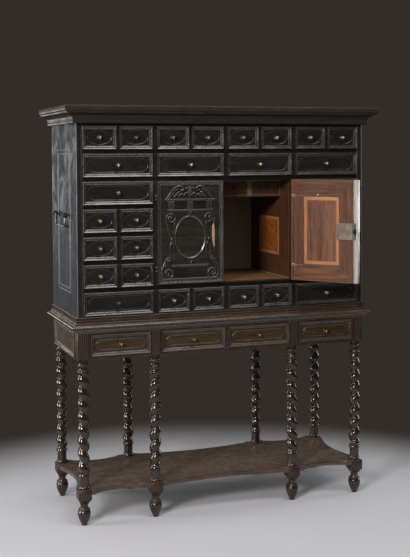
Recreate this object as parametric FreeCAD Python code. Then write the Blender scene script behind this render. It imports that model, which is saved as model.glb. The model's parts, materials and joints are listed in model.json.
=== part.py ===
import FreeCAD, Part
import math
import os

Vec = FreeCAD.Vector

# The case: four columns of drawers round a niche, in seven rows
column_width = 298.2
column_board = 16.0
opening_height = 97.0
row_board = 16.2
pair_board = 11.0
side_board = 25.0
case_depth = 467.0
back_board = 12.0
floor_board = 16.0
floor_lift = 15.1
top_board = 20.0
side_groove_width = 5.0
side_groove_depth = 1.5
side_groove_edge = 118.0
side_groove_space = 9.0
row_count = 7
column_count = 4
niche_rows = (3, 6)

# The mouldings that run round the case and the stand
cornice_height = 71.4
cornice_drop = 10.1
cornice_reach = 56.0
cornice_lid = 12.0
plinth_height = 28.0
plinth_reach = 13.0
nose_reach = 27.0
cove_height = 16.0
# Each profile runs from the wall outwards and back, as shares of reach and height
cornice_shares = (
    (0, 0), (0.32, 0), (0.34, 0.04), (0.34, 0.17), (0.30, 0.20), (0.34, 0.24), (0.40, 0.36),
    (0.52, 0.48), (0.70, 0.57), (0.88, 0.61), (0.90, 0.66), (0.96, 0.68), (1, 0.74), (1, 0.94),
    (0.96, 1), (0, 1))
plinth_shares = (
    (0, 0), (1, 0), (1, 0.12), (0.86, 0.16), (0.70, 0.24), (0.52, 0.42), (0.40, 0.64),
    (0.34, 0.84), (0.46, 0.88), (0.46, 0.97), (0.40, 1), (0, 1))
nose_shares = (
    (0, 0), (0.12, 0), (0.16, 0.10), (0.24, 0.24), (0.40, 0.38), (0.64, 0.48), (0.84, 0.52),
    (0.96, 0.58), (1, 0.66), (1, 0.78), (0.95, 0.88), (0.84, 0.93), (0.56, 1), (0, 1))

# The stand: eight twist legs, a frieze with four drawers, and a shelf
leg_height = 684.6
frieze_height = 126.4
stand_top_board = 20.4
stand_proud = 3.0
stand_side_proud = 2.6
stand_back_inset = 7.0
corner_post = 54.0
inner_post = 45.0
post_depth = 48.0
apron_board = 20.0
bottom_rail = 12.4
stand_opening = 91.0
stand_divider = 12.0
rail_depth = 30.0
runner_width = 14.0
apron_moulding_width = 20.0
apron_moulding_height = 7.0
shelf_board = 20.0
shelf_ear = 19.0
shelf_ear_step = 9.0
shelf_short_hollow = 38.0
shelf_long_hollow = 40.0
shelf_side_inset = 6.0
shelf_side_ear = 20.0
shelf_side_hollow = 32.0

# One leg, from the floor up
foot_height = 64.0
foot_radius = 27.0
foot_tip_radius = 11.0
foot_ring = 6.0
foot_neck = 22.0
foot_neck_radius = 16.5
foot_swell_share = 0.80
foot_belly_shares = (0.85, 0.45)
foot_shoulder_shares = (0.94, 0.82)
foot_ring_share = 0.92
leg_block = 54.0
leg_block_height = 58.0
block_taper = 10.5
block_taper_height = 18.0
leg_ring = 13.0
leg_ring_radius = 24.5
leg_drum = 38.5
leg_drum_radius = 20.5
head_ring = 14.0
head_drum = 17.0
head_top_ring = 7.0
head_collar = 19.0
head_collar_radius = 20.0
twist_radius = 19.5
twist_offset = 5.5
twist_turns = 8
twist_steps = 8

# One drawer
drawer_gap = 1.0
drawer_rest = 0.3
front_board = 14.0
front_recess = 2.0
drawer_side = 8.0
drawer_back = 8.0
drawer_bottom = 5.0
drawer_lip = 12.0
drawer_back_gap = 6.0
frame_width = 15.0
frame_height = 9.0
frame_shares = (
    (0, 0), (0, 0.7), (0.14, 1), (0.34, 1), (0.44, 0.62), (0.60, 0.78), (0.86, 0.36), (1, 0.3), (1, 0))
cartouche_margin = 6.0
cartouche_width = 4.0
cartouche_height = 3.5
stand_cut_corner = 13.0
knob_collar_radius = 10.0
knob_collar = 2.0
knob_neck_radius = 3.0
knob_neck = 6.0
knob_radius = 7.0

# The niche and its own small drawers
lining = 5.0
niche_stop_gap = 2.0
niche_drawer_inset = 110.0
niche_drawer_height = 68.0
niche_drawer_board = 14.0
niche_drawer_count = 4
niche_shelf = 6.0
niche_bead_width = 6.0
niche_bead_height = 2.0
niche_knob_share = 0.6

# The two doors, and the lock and hinges
door_board = 20.0
door_gap = 0.6
door_foot_gap = 1.3
meeting_offset = 10.0
door_open_angle = 127.0
hinge_out = 4.5
hinge_side = 3.0
hinge_pin_radius = 2.0
hinge_clearance = 0.1
knuckle_radius = 3.6
knuckle_length = 12.0
knuckle_gap = 0.4
hinge_eye = 5.0
hinge_eye_reach = 5.0
hinge_lug_reach = 10.6
hinge_lug_height = 8.0
hinge_inset = 68.0
door_edge_margin = 8.5
door_meeting_margin = 3.8
door_frame_width = 11.0
door_frame_height = 8.0
door_field_margin = 5.0
door_field_width = 8.0
door_field_height = 6.0
relief_height = 9.0
lock_width = 80.0
lock_height = 70.0
lock_depth = 4.0
lock_edge = 12.0
lock_bolt_height = 24.0
lock_bolt_out = 0.3

# The wrought bail handles on the two sides
bail_span = 180.0
bail_drop = 47.0
bail_radius = 4.2
bail_stand_off = 16.0
bail_end = 13.0
bail_bend_radius = 20.0
bail_height_share = 0.53
eye_wire = 3.0
eye_clearance = 0.6
eye_rose_radius = 14.0
eye_rose = 2.5

# Cuts run this far past what they cut
overrun = 1.0

case_half = side_board + (column_count * column_width + (column_count - 1) * column_board) / 2
stand_half = case_half + stand_side_proud
stand_top_z = leg_height + frieze_height
case_z = stand_top_z + stand_top_board
floor_z = case_z + floor_lift + floor_board
rows_height = row_count * opening_height + (row_count - 1) * row_board
rows_top_z = floor_z + rows_height
case_top_z = rows_top_z + top_board
cornice_z = case_top_z - cornice_drop
board_depth = case_depth - back_board


def box(x0, x1, y0, y1, z0, z1):
    return Part.makeBox(x1 - x0, y1 - y0, z1 - z0, Vec(x0, y0, z0))


def column_left(column):
    """The left edge of a column's opening, columns counted from 1."""
    return -case_half + side_board + (column - 1) * (column_width + column_board)


def row_bottom(row):
    """The underside of a row's opening, rows counted from 1 at the top."""
    return floor_z + (row_count - row) * (opening_height + row_board)


def solid_of(faces):
    """A closed solid from flat faces given as lists of points."""
    shell = Part.makeShell([Part.Face(Part.makePolygon(points + points[:1])) for points in faces])
    solid = Part.makeSolid(shell)
    if solid.Volume < 0:
        solid.reverse()
    return solid


def prism_between(first, last):
    """A straight moulding between two end sections with matching points."""
    faces = [list(first), list(last)]
    for k in range(len(first)):
        after = (k + 1) % len(first)
        faces.append([first[k], first[after], last[after], last[k]])
    return solid_of(faces)


def wrap_moulding(half_width, front, back, z, reach, height, shares):
    """Front and side mouldings, mitred at the two front corners and cut square at the back."""
    sizes = [(out * reach, z + up * height) for out, up in shares]
    left = [Vec(-half_width - out, front - out, up) for out, up in sizes]
    right = [Vec(half_width + out, front - out, up) for out, up in sizes]
    left_end = [Vec(-half_width - out, back, up) for out, up in sizes]
    right_end = [Vec(half_width + out, back, up) for out, up in sizes]
    return [prism_between(left, right), prism_between(left_end, left), prism_between(right, right_end)]


def flat_point(face, across, out, up):
    """A point on a face: -Y for fronts, -X or +X for the sides; out stands proud of it."""
    way, level = face
    if way == "front":
        return Vec(across, level - out, up)
    return Vec(level + way * out, across, up)


def ring_moulding(face, a0, a1, z0, z1, width, height, shares):
    """A rectangular frame of moulding laid flat on a face, its corners mitred."""
    corners = []
    for at_end, at_top in ((0, 0), (1, 0), (1, 1), (0, 1)):
        points = []
        for inward, proud in shares:
            across = a1 - inward * width if at_end else a0 + inward * width
            up = z1 - inward * width if at_top else z0 + inward * width
            points.append(flat_point(face, across, proud * height, up))
        corners.append(points)
    faces = []
    for k, points in enumerate(corners):
        following = corners[(k + 1) % len(corners)]
        for j in range(len(points)):
            after = (j + 1) % len(points)
            faces.append([points[j], points[after], following[after], following[j]])
    return solid_of(faces)


def round_outline(x0, x1, z0, z1, radius, y):
    """A rectangle with round corners, standing in the XZ plane."""
    bend = radius * (1 - math.sqrt(0.5))
    def at(x, z):
        return Vec(x, y, z)
    edges = [
        Part.makeLine(at(x0 + radius, z0), at(x1 - radius, z0)),
        Part.Arc(at(x1 - radius, z0), at(x1 - bend, z0 + bend), at(x1, z0 + radius)).toShape(),
        Part.makeLine(at(x1, z0 + radius), at(x1, z1 - radius)),
        Part.Arc(at(x1, z1 - radius), at(x1 - bend, z1 - bend), at(x1 - radius, z1)).toShape(),
        Part.makeLine(at(x1 - radius, z1), at(x0 + radius, z1)),
        Part.Arc(at(x0 + radius, z1), at(x0 + bend, z1 - bend), at(x0, z1 - radius)).toShape(),
        Part.makeLine(at(x0, z1 - radius), at(x0, z0 + radius)),
        Part.Arc(at(x0, z0 + radius), at(x0 + bend, z0 + bend), at(x0 + radius, z0)).toShape(),
    ]
    return Part.Wire(edges)


def cut_outline(x0, x1, z0, z1, corner, y):
    """A rectangle with its corners cut off, standing in the XZ plane."""
    places = (
        (x0 + corner, z0), (x1 - corner, z0), (x1, z0 + corner), (x1, z1 - corner),
        (x1 - corner, z1), (x0 + corner, z1), (x0, z1 - corner), (x0, z0 + corner))
    points = [Vec(x, y, z) for x, z in places]
    return Part.makePolygon(points + points[:1])


def cartouche(x0, x1, z0, z1, y, cut_corners):
    """The raised line inside a drawer's frame."""
    w = cartouche_width
    if cut_corners:
        slope = w * (2 - math.sqrt(2))
        outer = cut_outline(x0, x1, z0, z1, stand_cut_corner, y)
        inner = cut_outline(x0 + w, x1 - w, z0 + w, z1 - w, stand_cut_corner - slope, y)
    else:
        margin = cartouche_width / 2
        radius = (z1 - z0) / 2 - margin
        outer = round_outline(x0, x1, z0, z1, radius, y)
        inner = round_outline(x0 + w, x1 - w, z0 + w, z1 - w, radius - w, y)
    outside = Part.Face(outer).extrude(Vec(0, -cartouche_height, 0))
    inside = Part.Face(inner).extrude(Vec(0, -cartouche_height, 0))
    return outside.cut(inside)


def knob(x, y, z, scale_share):
    """A turned ball knob on a small collar, pointing out of the front."""
    collar, thick = knob_collar_radius * scale_share, knob_collar * scale_share
    neck, length, ball = (size * scale_share for size in (knob_neck_radius, knob_neck, knob_radius))
    rise = math.sqrt(ball * ball - neck * neck)
    centre = thick + length + rise
    def at(r, out):
        return Vec(x + r, y - out, z)
    edges = [
        Part.makeLine(at(0, 0), at(collar, 0)),
        Part.makeLine(at(collar, 0), at(collar, thick)),
        Part.makeLine(at(collar, thick), at(neck, thick)),
        Part.makeLine(at(neck, thick), at(neck, centre - rise)),
        Part.Arc(at(neck, centre - rise), at(ball, centre), at(0, centre + ball)).toShape(),
        Part.makeLine(at(0, centre + ball), at(0, 0)),
    ]
    return Part.Face(Part.Wire(edges)).revolve(Vec(x, y, z), Vec(0, 1, 0), 360)


def drawer_box(x0, x1, z0, z1, y0, y1):
    """The two sides, the back and the bottom behind a front that ends at y0."""
    top = z1 - drawer_lip
    floor = z0 + drawer_bottom
    return [
        box(x0, x0 + drawer_side, y0, y1, floor, top),
        box(x1 - drawer_side, x1, y0, y1, floor, top),
        box(x0 + drawer_side, x1 - drawer_side, y1 - drawer_back, y1, floor, top),
        box(x0, x1, y0, y1, z0, floor),
    ]


def drawer(opening, face, back, cut_corners=False):
    """A drawer in an opening (x0, x1, z0, z1): front, frame, raised line, knob and box."""
    x0, x1 = opening[0] + drawer_gap, opening[1] - drawer_gap
    z0, z1 = opening[2] + drawer_rest, opening[3] - drawer_gap
    margin = frame_width + cartouche_margin
    front = box(x0, x1, face, face + front_board, z0, z1)
    frame = ring_moulding(("front", face), x0, x1, z0, z1, frame_width, frame_height, frame_shares)
    line = cartouche(x0 + margin, x1 - margin, z0 + margin, z1 - margin, face, cut_corners)
    pull = knob((x0 + x1) / 2, face, (z0 + z1) / 2, 1)
    return [front, frame, line, pull] + drawer_box(x0, x1, z0, z1, face + front_board, back)


def halves(x0):
    """The two openings of a pair of small drawers in a column."""
    small = (column_width - pair_board) / 2
    return (x0, x0 + small), (x0 + column_width - small, x0 + column_width)


def use_of(row, column):
    """What a column holds in a row: the niche, a pair of small drawers or one wide drawer."""
    first, last = niche_rows
    outer = column in (1, column_count)
    if first <= row <= last and not outer:
        return "niche"
    if row == 1 or (outer and first < row <= last) or (row > last and not outer):
        return "pair"
    return "wide"


def row_openings(row):
    """The drawer openings of one row, from left to right."""
    spans = []
    for column in range(1, column_count + 1):
        x0, use = column_left(column), use_of(row, column)
        if use == "pair":
            spans.extend(halves(x0))
        elif use == "wide":
            spans.append((x0, x0 + column_width))
    z0 = row_bottom(row)
    return [(x0, x1, z0, z0 + opening_height) for x0, x1 in spans]


def case_drawers():
    back = board_depth - drawer_back_gap
    made = {}
    for row in range(1, row_count + 1):
        for number, opening in enumerate(row_openings(row), 1):
            made["row%d_drawer%d" % (row, number)] = drawer(opening, front_recess, back)
    return made


def case_sides():
    """Side boards, with a double line cut round a tall panel on the outside."""
    made = []
    for way in (-1, 1):
        inner, outer = way * (case_half - side_board), way * case_half
        board = box(min(inner, outer), max(inner, outer), 0, case_depth, case_z, case_top_z)
        for step in (0, side_groove_space):
            edge = side_groove_edge + step
            board = board.cut(groove(way, edge, edge + side_groove_width))
        made.append(board)
    return made


def groove(way, inset, inner_inset):
    """A shallow rectangular groove in one side, as far from each edge as inset."""
    deep, out = way * (case_half - side_groove_depth), way * (case_half + overrun)
    x0, x1 = min(deep, out), max(deep, out)
    outside = box(x0, x1, inset, case_depth - inset, case_z + inset, case_top_z - inset)
    inside = box(
        x0, x1, inner_inset, case_depth - inner_inset, case_z + inner_inset, case_top_z - inner_inset)
    return outside.cut(inside)


def row_boards():
    """The boards that the drawers run on, and those above and below the niche."""
    inner = case_half - side_board
    first, last = niche_rows
    made = []
    for row in range(1, row_count):
        z1 = row_bottom(row)
        z0 = z1 - row_board
        if first <= row < last:
            for column in (1, column_count):
                x0 = column_left(column)
                made.append(box(x0, x0 + column_width, 0, board_depth, z0, z1))
        else:
            made.append(box(-inner, inner, 0, board_depth, z0, z1))
    return made


def upright(x0, x1, z0, z1):
    return box(x0, x1, 0, board_depth, z0, z1)


def column_boards():
    """The uprights between columns, and the thinner ones between paired drawers."""
    first, last = niche_rows
    made = []
    for row in range(1, row_count + 1):
        z0 = row_bottom(row)
        z1 = z0 + opening_height
        for column in range(1, column_count + 1):
            x1 = column_left(column) + column_width
            if use_of(row, column) == "pair":
                left, right = halves(column_left(column))
                made.append(upright(left[1], right[0], z0, z1))
            if column < column_count and not first <= row <= last:
                made.append(upright(x1, x1 + column_board, z0, z1))
    z0, z1 = row_bottom(last), row_bottom(first) + opening_height
    for column in (1, column_count - 1):
        x1 = column_left(column) + column_width
        made.append(upright(x1, x1 + column_board, z0, z1))
    return made


def niche_box():
    """Left, right, bottom and top of the niche's opening."""
    first, last = niche_rows
    x0 = column_left(2)
    return x0, -x0, row_bottom(last), row_bottom(first) + opening_height


def niche_drawer_openings():
    x0, x1, z0, z1 = niche_box()
    inner, top = x1 - lining, z1 - lining
    width = (2 * inner - (niche_drawer_count - 1) * niche_drawer_board) / niche_drawer_count
    openings = []
    for k in range(niche_drawer_count):
        left = -inner + k * (width + niche_drawer_board)
        openings.append((left, left + width, top - niche_drawer_height, top))
    return openings


def niche_lining():
    """Thin veneered boards round the niche, and the housing of its four drawers."""
    x0, x1, z0, z1 = niche_box()
    front = door_board + niche_stop_gap
    openings = niche_drawer_openings()
    bottom = openings[0][2]
    made = [
        box(x0, x1, front, board_depth, z0, z0 + lining),
        box(x0, x1, front, board_depth, z1 - lining, z1),
        box(x0, x0 + lining, front, board_depth, z0 + lining, z1 - lining),
        box(x1 - lining, x1, front, board_depth, z0 + lining, z1 - lining),
        box(x0 + lining, x1 - lining, board_depth - lining, board_depth, z0 + lining, z1 - lining),
    ]
    back = board_depth - lining
    made.append(box(x0 + lining, x1 - lining, niche_drawer_inset, back, bottom - niche_shelf, bottom))
    for left, right in zip(openings, openings[1:]):
        made.append(box(left[1], right[0], niche_drawer_inset, back, bottom, z1 - lining))
    return made


def niche_drawers():
    made = {}
    back = board_depth - lining - drawer_back_gap
    for number, opening in enumerate(niche_drawer_openings(), 1):
        x0, x1 = opening[0] + drawer_gap, opening[1] - drawer_gap
        z0, z1 = opening[2] + drawer_rest, opening[3] - drawer_gap
        face = niche_drawer_inset
        front = box(x0, x1, face, face + front_board, z0, z1)
        bead_shares = ((0, 0), (0, 1), (1, 1), (1, 0))
        bead = ring_moulding(
            ("front", face), x0, x1, z0, z1, niche_bead_width, niche_bead_height, bead_shares)
        pull = knob((x0 + x1) / 2, face, (z0 + z1) / 2, niche_knob_share)
        box_parts = drawer_box(x0, x1, z0, z1, face + front_board, back)
        made["niche_drawer%d" % number] = [front, bead, pull] + box_parts
    return made


def relief_bar(x, z, half_width, height, proud):
    return box(x - half_width, x + half_width, -proud, 0, z, z + height)


def relief_disc(x, z, radius, proud):
    return Part.makeCylinder(radius, proud, Vec(x, 0, z), Vec(0, -1, 0))


def relief_oval(x, z, half_width, half_height, width, proud):
    """A raised oval band, standing on the door's face."""
    def oval(a, b):
        curve = Part.Ellipse(Vec(x, 0, z + b), Vec(x + a, 0, z), Vec(x, 0, z))
        return Part.Face(Part.Wire([curve.toShape()])).extrude(Vec(0, -proud, 0))
    return oval(half_width, half_height).cut(oval(half_width - width, half_height - width))


def raking_piece(x, z, way, run, rise, thick, proud):
    """One half of a broken pediment, climbing towards the middle."""
    places = ((0, 0), (run, rise), (run, rise - thick), (thick, -thick), (0, -thick))
    points = [Vec(x + way * along, 0, z + up) for along, up in places]
    return Part.Face(Part.makePolygon(points + points[:1])).extrude(Vec(0, -proud, 0))


# Carved relief on a door, as shares of the width and height of the field inside its frames
pediment_shares = (0.42, 0.905, 0.27, 0.085, 0.035)
finial_shares = (0.075, 0.90, 0.085)
bar_shares = ((0.43, 0.845, 0.022), (0.40, 0.735, 0.018), (0.40, 0.155, 0.022), (0.42, 0.012, 0.020))
frieze_shares = ((0.06, 0.33, 0.765, 0.07), (-0.33, -0.06, 0.765, 0.07))
panel_shares = (0.28, 0.045, 0.10)
oval_shares = (0.285, 0.235, 0.465, 0.05)
volute_shares = ((0.36, 0.66, 0.085), (0.37, 0.09, 0.085), (0.40, 0.225, 0.05))
strap_shares = (0.445, 0.025, 0.27, 0.60)


def door_relief(x, z0, half_width, height):
    """An arched frame of mouldings and scrolls round an oval, centred on x."""
    w = 2 * half_width
    def up(share):
        return z0 + share * height
    half, foot, run, rise, thick = pediment_shares
    made = []
    for way in (-1, 1):
        made.append(raking_piece(
            x + way * half * w, up(foot), -way, run * w, rise * height, thick * height, relief_height))
        for out, level, radius in volute_shares:
            made.append(relief_disc(x + way * out * w, up(level), radius * w, relief_height))
        out, wide, low, high = strap_shares
        made.append(relief_bar(x + way * out * w, up(low), wide * w, (high - low) * height, relief_height))
    half, level, tall = finial_shares
    made.append(relief_bar(x, up(level), half * w, tall * height, relief_height))
    for half, level, tall in bar_shares:
        made.append(relief_bar(x, up(level), half * w, tall * height, relief_height))
    for low, high, level, tall in frieze_shares:
        middle, half = (low + high) / 2, (high - low) / 2
        made.append(relief_bar(x + middle * w, up(level), half * w, tall * height, relief_height))
    half, level, tall = panel_shares
    made.append(relief_bar(x, up(level), half * w, tall * height, relief_height))
    half, half_tall, level, band = oval_shares
    made.append(relief_oval(x, up(level), half * w, half_tall * height, band * w, relief_height))
    return made


def door_edges(way):
    """Hinge edge and meeting edge of a door in the closed place; way -1 is the left door."""
    x0, x1, z0, z1 = niche_box()
    hinge = way * (x1 - door_gap)
    meeting = -meeting_offset + way * door_gap / 2
    return hinge, meeting, z0 + door_foot_gap, z1 - door_foot_gap


def hinge_axis(way):
    return Vec(way * (niche_box()[1] + hinge_side), -hinge_out, 0)


def hinge_heights():
    hinge, meeting, z0, z1 = door_edges(1)
    return z0 + hinge_inset, z1 - hinge_inset


def door_knuckles(way):
    """The tubes that turn on the pins, each with the lug that holds it to the door."""
    axis = hinge_axis(way)
    made = []
    for z in hinge_heights():
        base = Vec(axis.x, axis.y, z - knuckle_length / 2)
        bore = Part.makeCylinder(hinge_pin_radius + hinge_clearance, knuckle_length, base)
        near, edge, far = axis.x, door_edges(way)[0], axis.x - way * hinge_lug_reach
        low, high = z - hinge_lug_height / 2, z + hinge_lug_height / 2
        front = axis.y - hinge_pin_radius
        lug = box(min(near, far), max(near, far), front, -hinge_clearance, low, high)
        seat = box(min(edge, far), max(edge, far), front, 0, low, high)
        tube = Part.makeCylinder(knuckle_radius, knuckle_length, base)
        made.append(tube.multiFuse([lug, seat]).cut(bore).removeSplitter())
    return made


def door(way):
    """A closed door: board, two frames of moulding, relief and knuckles."""
    hinge, meeting, z0, z1 = door_edges(way)
    made = [box(min(hinge, meeting), max(hinge, meeting), 0, door_board, z0, z1)]
    near, far = way * (meeting_offset + door_meeting_margin), hinge - way * door_edge_margin
    a0, a1 = min(near, far), max(near, far)
    b0, b1 = z0 + door_field_margin, z1 - door_field_margin
    made.append(ring_moulding(
        ("front", 0), a0, a1, b0, b1, door_frame_width, door_frame_height, frame_shares))
    step = door_frame_width + door_field_margin
    a0, a1, b0, b1 = a0 + step, a1 - step, b0 + step, b1 - step
    made.append(ring_moulding(
        ("front", 0), a0, a1, b0, b1, door_field_width, door_field_height, frame_shares))
    a0, a1 = a0 + door_field_width, a1 - door_field_width
    b0, b1 = b0 + door_field_width, b1 - door_field_width
    made.extend(door_relief((a0 + a1) / 2, b0, (a1 - a0) / 2, b1 - b0))
    return made + door_knuckles(way)


def opened(shapes):
    """Turns the closed right door, or what is on it, to where it stands open."""
    axis = hinge_axis(1)
    return [shape.rotated(axis, Vec(0, 0, 1), door_open_angle) for shape in shapes]


def door_lock():
    """A lock plate on the inside of the closed right door, with its bolt."""
    hinge, meeting, z0, z1 = door_edges(1)
    x0, middle = meeting + lock_edge, (z0 + z1) / 2
    plate = box(
        x0, x0 + lock_width, door_board, door_board + lock_depth,
        middle - lock_height / 2, middle + lock_height / 2)
    bolt = box(
        meeting + lock_bolt_out, x0, door_board, door_board + lock_depth,
        middle - lock_bolt_height / 2, middle + lock_bolt_height / 2)
    return [plate, bolt]


def hinge_pins():
    """On the case beside each door: a pin held by an eye above and below the knuckle."""
    made = []
    for way in (-1, 1):
        axis = hinge_axis(way)
        reach = knuckle_length / 2 + knuckle_gap
        for z in hinge_heights():
            length = 2 * (reach + hinge_eye)
            pin = Part.makeCylinder(hinge_pin_radius, length, Vec(axis.x, axis.y, z - length / 2))
            near, far = axis.x - way * hinge_pin_radius, axis.x + way * hinge_eye_reach
            for low in (z - reach - hinge_eye, z + reach):
                eye = box(
                    min(near, far), max(near, far), axis.y - hinge_pin_radius, 0, low, low + hinge_eye)
                pin = pin.fuse(eye)
            made.append(pin.removeSplitter())
    return made


def bail_z():
    return case_z + bail_height_share * (case_top_z - case_z)


def bail(way):
    """An iron bail hanging by its two ends on one side of the case."""
    middle, half = case_depth / 2, bail_span / 2
    x, z = way * (case_half + bail_stand_off), bail_z()
    turn = bail_bend_radius
    bend = turn * (1 - math.sqrt(0.5))
    def at(y, down):
        return Vec(x, middle + y, z - down)
    edges = [
        Part.makeLine(at(-half, 0), at(-half, bail_drop - turn)),
        Part.Arc(
            at(-half, bail_drop - turn), at(-half + bend, bail_drop - bend),
            at(-half + turn, bail_drop)).toShape(),
        Part.makeLine(at(-half + turn, bail_drop), at(half - turn, bail_drop)),
        Part.Arc(
            at(half - turn, bail_drop), at(half - bend, bail_drop - bend),
            at(half, bail_drop - turn)).toShape(),
        Part.makeLine(at(half, bail_drop - turn), at(half, 0)),
    ]
    section = Part.Wire([Part.Circle(at(-half, 0), Vec(0, 0, 1), bail_radius).toShape()])
    made = Part.Wire(edges).makePipeShell([section], True, False)
    for end in (-1, 1):
        start = at(end * (half + bail_end), 0)
        pin = Part.makeCylinder(bail_radius, bail_end, start, Vec(0, -end, 0))
        made = made.fuse(pin).fuse(Part.makeSphere(bail_radius, at(end * half, 0)))
    return [made]


def handle_mounts():
    """Four ring eyes on round roses, two on each side, that the bails hang in."""
    made = []
    z = bail_z()
    inner = bail_radius + eye_clearance
    for way in (-1, 1):
        x = way * (case_half + bail_stand_off)
        for end in (-1, 1):
            y = case_depth / 2 + end * (bail_span / 2 + (bail_end + bail_radius) / 2)
            wall = way * case_half
            rose = Part.makeCylinder(eye_rose_radius, eye_rose, Vec(wall, y, z), Vec(way, 0, 0))
            start = Vec(x, y - eye_wire, z)
            ring = Part.makeCylinder(inner + 2 * eye_wire, 2 * eye_wire, start, Vec(0, 1, 0))
            hole = Part.makeCylinder(
                inner, 2 * eye_wire + 2 * overrun, start - Vec(0, overrun, 0), Vec(0, 1, 0))
            shank = Part.makeCylinder(
                eye_wire, bail_stand_off - inner - eye_wire, Vec(wall, y, z), Vec(way, 0, 0))
            made.append(rose.fuse(shank).fuse(ring).cut(hole))
    return made


def cornice():
    made = wrap_moulding(
        case_half, 0, case_depth, cornice_z, cornice_reach, cornice_height, cornice_shares)
    top = cornice_z + cornice_height
    made.append(box(-case_half, case_half, 0, case_depth, top - cornice_lid, top))
    made.append(box(-case_half, case_half, board_depth, case_depth, case_top_z, top - cornice_lid))
    return made


def stand_top():
    made = [box(-stand_half, stand_half, -stand_proud, case_depth, stand_top_z, case_z)]
    made += wrap_moulding(
        stand_half, -stand_proud, case_depth, stand_top_z - cove_height, nose_reach,
        cove_height + stand_top_board, nose_shares)
    return made


def leg_rows():
    """The two places across the depth where legs stand."""
    front = -stand_proud + post_depth / 2
    back = case_depth - stand_back_inset - post_depth / 2
    return front, back


def leg_columns():
    """The four places across the width, with the width of the square head at each."""
    outer = stand_half - corner_post / 2
    inner = column_width + column_board
    return (-outer, corner_post), (-inner, inner_post), (inner, inner_post), (outer, corner_post)


def lathe(x, y, start, steps):
    """A turned solid from (radius, height) points; a pair of points is an arc."""
    def at(place):
        return Vec(x + place[0], y, place[1])
    edges, here = [], start
    for step in steps:
        if len(step) == 2 and isinstance(step[0], tuple):
            edges.append(Part.Arc(at(here), at(step[0]), at(step[1])).toShape())
            here = step[1]
        else:
            edges.append(Part.makeLine(at(here), at(step)))
            here = step
    edges.append(Part.makeLine(at(here), at(start)))
    return Part.Face(Part.Wire(edges)).revolve(Vec(x, y, 0), Vec(0, 0, 1), 360)


def ring_step(z, height, radius, inner):
    """A half-round ring between two narrower stretches."""
    return [(inner, z), ((radius, z + height / 2), (inner, z + height))]


def foot(x, y):
    """An acorn foot with a ring and a neck under the block."""
    z = foot_height
    swell = foot_height * foot_swell_share
    belly_radius, belly_height = foot_belly_shares
    upper_radius, top_radius = foot_shoulder_shares
    steps = [
        (foot_tip_radius, 0),
        ((foot_radius * belly_radius, swell * belly_height), (foot_radius, swell)),
        ((foot_radius * upper_radius, (swell + z) / 2), (foot_radius * top_radius, z)),
    ]
    steps += ring_step(z, foot_ring, foot_radius * foot_ring_share, foot_neck_radius)
    steps += [(foot_neck_radius, z + foot_ring + foot_neck), (0, z + foot_ring + foot_neck)]
    return lathe(x, y, (0, 0), steps)


def drum(x, y, z, rings, length):
    """A short cylinder between two rings."""
    low, high = rings
    steps = [(leg_drum_radius, z)]
    steps += ring_step(z, low, leg_ring_radius, leg_drum_radius)[1:]
    steps += [(leg_drum_radius, z + low + length)]
    steps += ring_step(z + low + length, high, leg_ring_radius, leg_drum_radius)[1:]
    steps += [(0, z + low + length + high)]
    return lathe(x, y, (0, z), steps)


def collar(x, y):
    """The plain neck under a leg's square head."""
    z = leg_height - head_collar
    return Part.makeCylinder(head_collar_radius, head_collar, Vec(x, y, z))


def block_foot(x, y, z0, z1):
    """The lower end of a block, drawn in to the neck of the foot."""
    def square(half, z):
        return [Vec(x + a * half, y + b * half, z) for a, b in ((-1, -1), (1, -1), (1, 1), (-1, 1))]
    return prism_between(square(leg_block / 2 - block_taper, z0), square(leg_block / 2, z1))


def twist(x, y, z0, z1, hand):
    """A round bar whose centre winds round the leg's axis."""
    sections = []
    count = twist_turns * twist_steps
    for k in range(count + 1):
        angle = hand * 2 * math.pi * k / twist_steps
        centre = Vec(
            x + twist_offset * math.cos(angle), y + twist_offset * math.sin(angle),
            z0 + (z1 - z0) * k / count)
        sections.append(Part.Wire([Part.Circle(centre, Vec(0, 0, 1), twist_radius).toShape()]))
    return Part.makeLoft(sections, True, False)


def leg_levels():
    """Heights of a leg's stretches: block, lower drum, twist, upper drum."""
    block = foot_height + foot_ring + foot_neck
    lower = block + leg_block_height
    twist_low = lower + leg_ring + leg_drum + leg_ring
    twist_high = leg_height - head_collar - head_top_ring - head_drum - head_ring
    return block, lower, twist_low, twist_high


def leg(x, y, head, hand):
    block, lower, twist_low, twist_high = leg_levels()
    half, straight = leg_block / 2, block + block_taper_height
    parts = [
        block_foot(x, y, block, straight),
        box(x - half, x + half, y - half, y + half, straight, lower),
        drum(x, y, lower, (leg_ring, leg_ring), leg_drum),
        twist(x, y, twist_low, twist_high, hand),
        drum(x, y, twist_high, (head_ring, head_top_ring), head_drum),
        collar(x, y),
        box(x - head / 2, x + head / 2, y - post_depth / 2, y + post_depth / 2, leg_height, stand_top_z),
    ]
    return foot(x, y).multiFuse(parts)


def twist_legs():
    """Eight legs; neighbours at the front wind opposite ways."""
    front, back = leg_rows()
    made = []
    for number, (x, head) in enumerate(leg_columns()):
        made.append(leg(x, front, head, -1 if number % 2 == 0 else 1))
        made.append(leg(x, back, head, -1 if number < 2 else 1))
    return made


def stand_openings():
    """The four drawer openings of the stand, from left to right."""
    columns = leg_columns()
    inner = columns[2][0]
    z0 = leg_height + bottom_rail
    z1 = z0 + stand_opening
    spans = (
        (inner + inner_post / 2, stand_half - corner_post),
        (stand_divider / 2, inner - inner_post / 2))
    far, near = spans
    all_spans = ((-far[1], -far[0]), (-near[1], -near[0]), near, far)
    return [(x0, x1, z0, z1) for x0, x1 in all_spans]


def stand_drawers():
    made = {}
    back = leg_rows()[1] - post_depth / 2 - drawer_back_gap
    for number, opening in enumerate(stand_openings(), 1):
        face = front_recess - stand_proud
        made["stand_drawer%d" % number] = drawer(opening, face, back, True)
    return made


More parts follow.
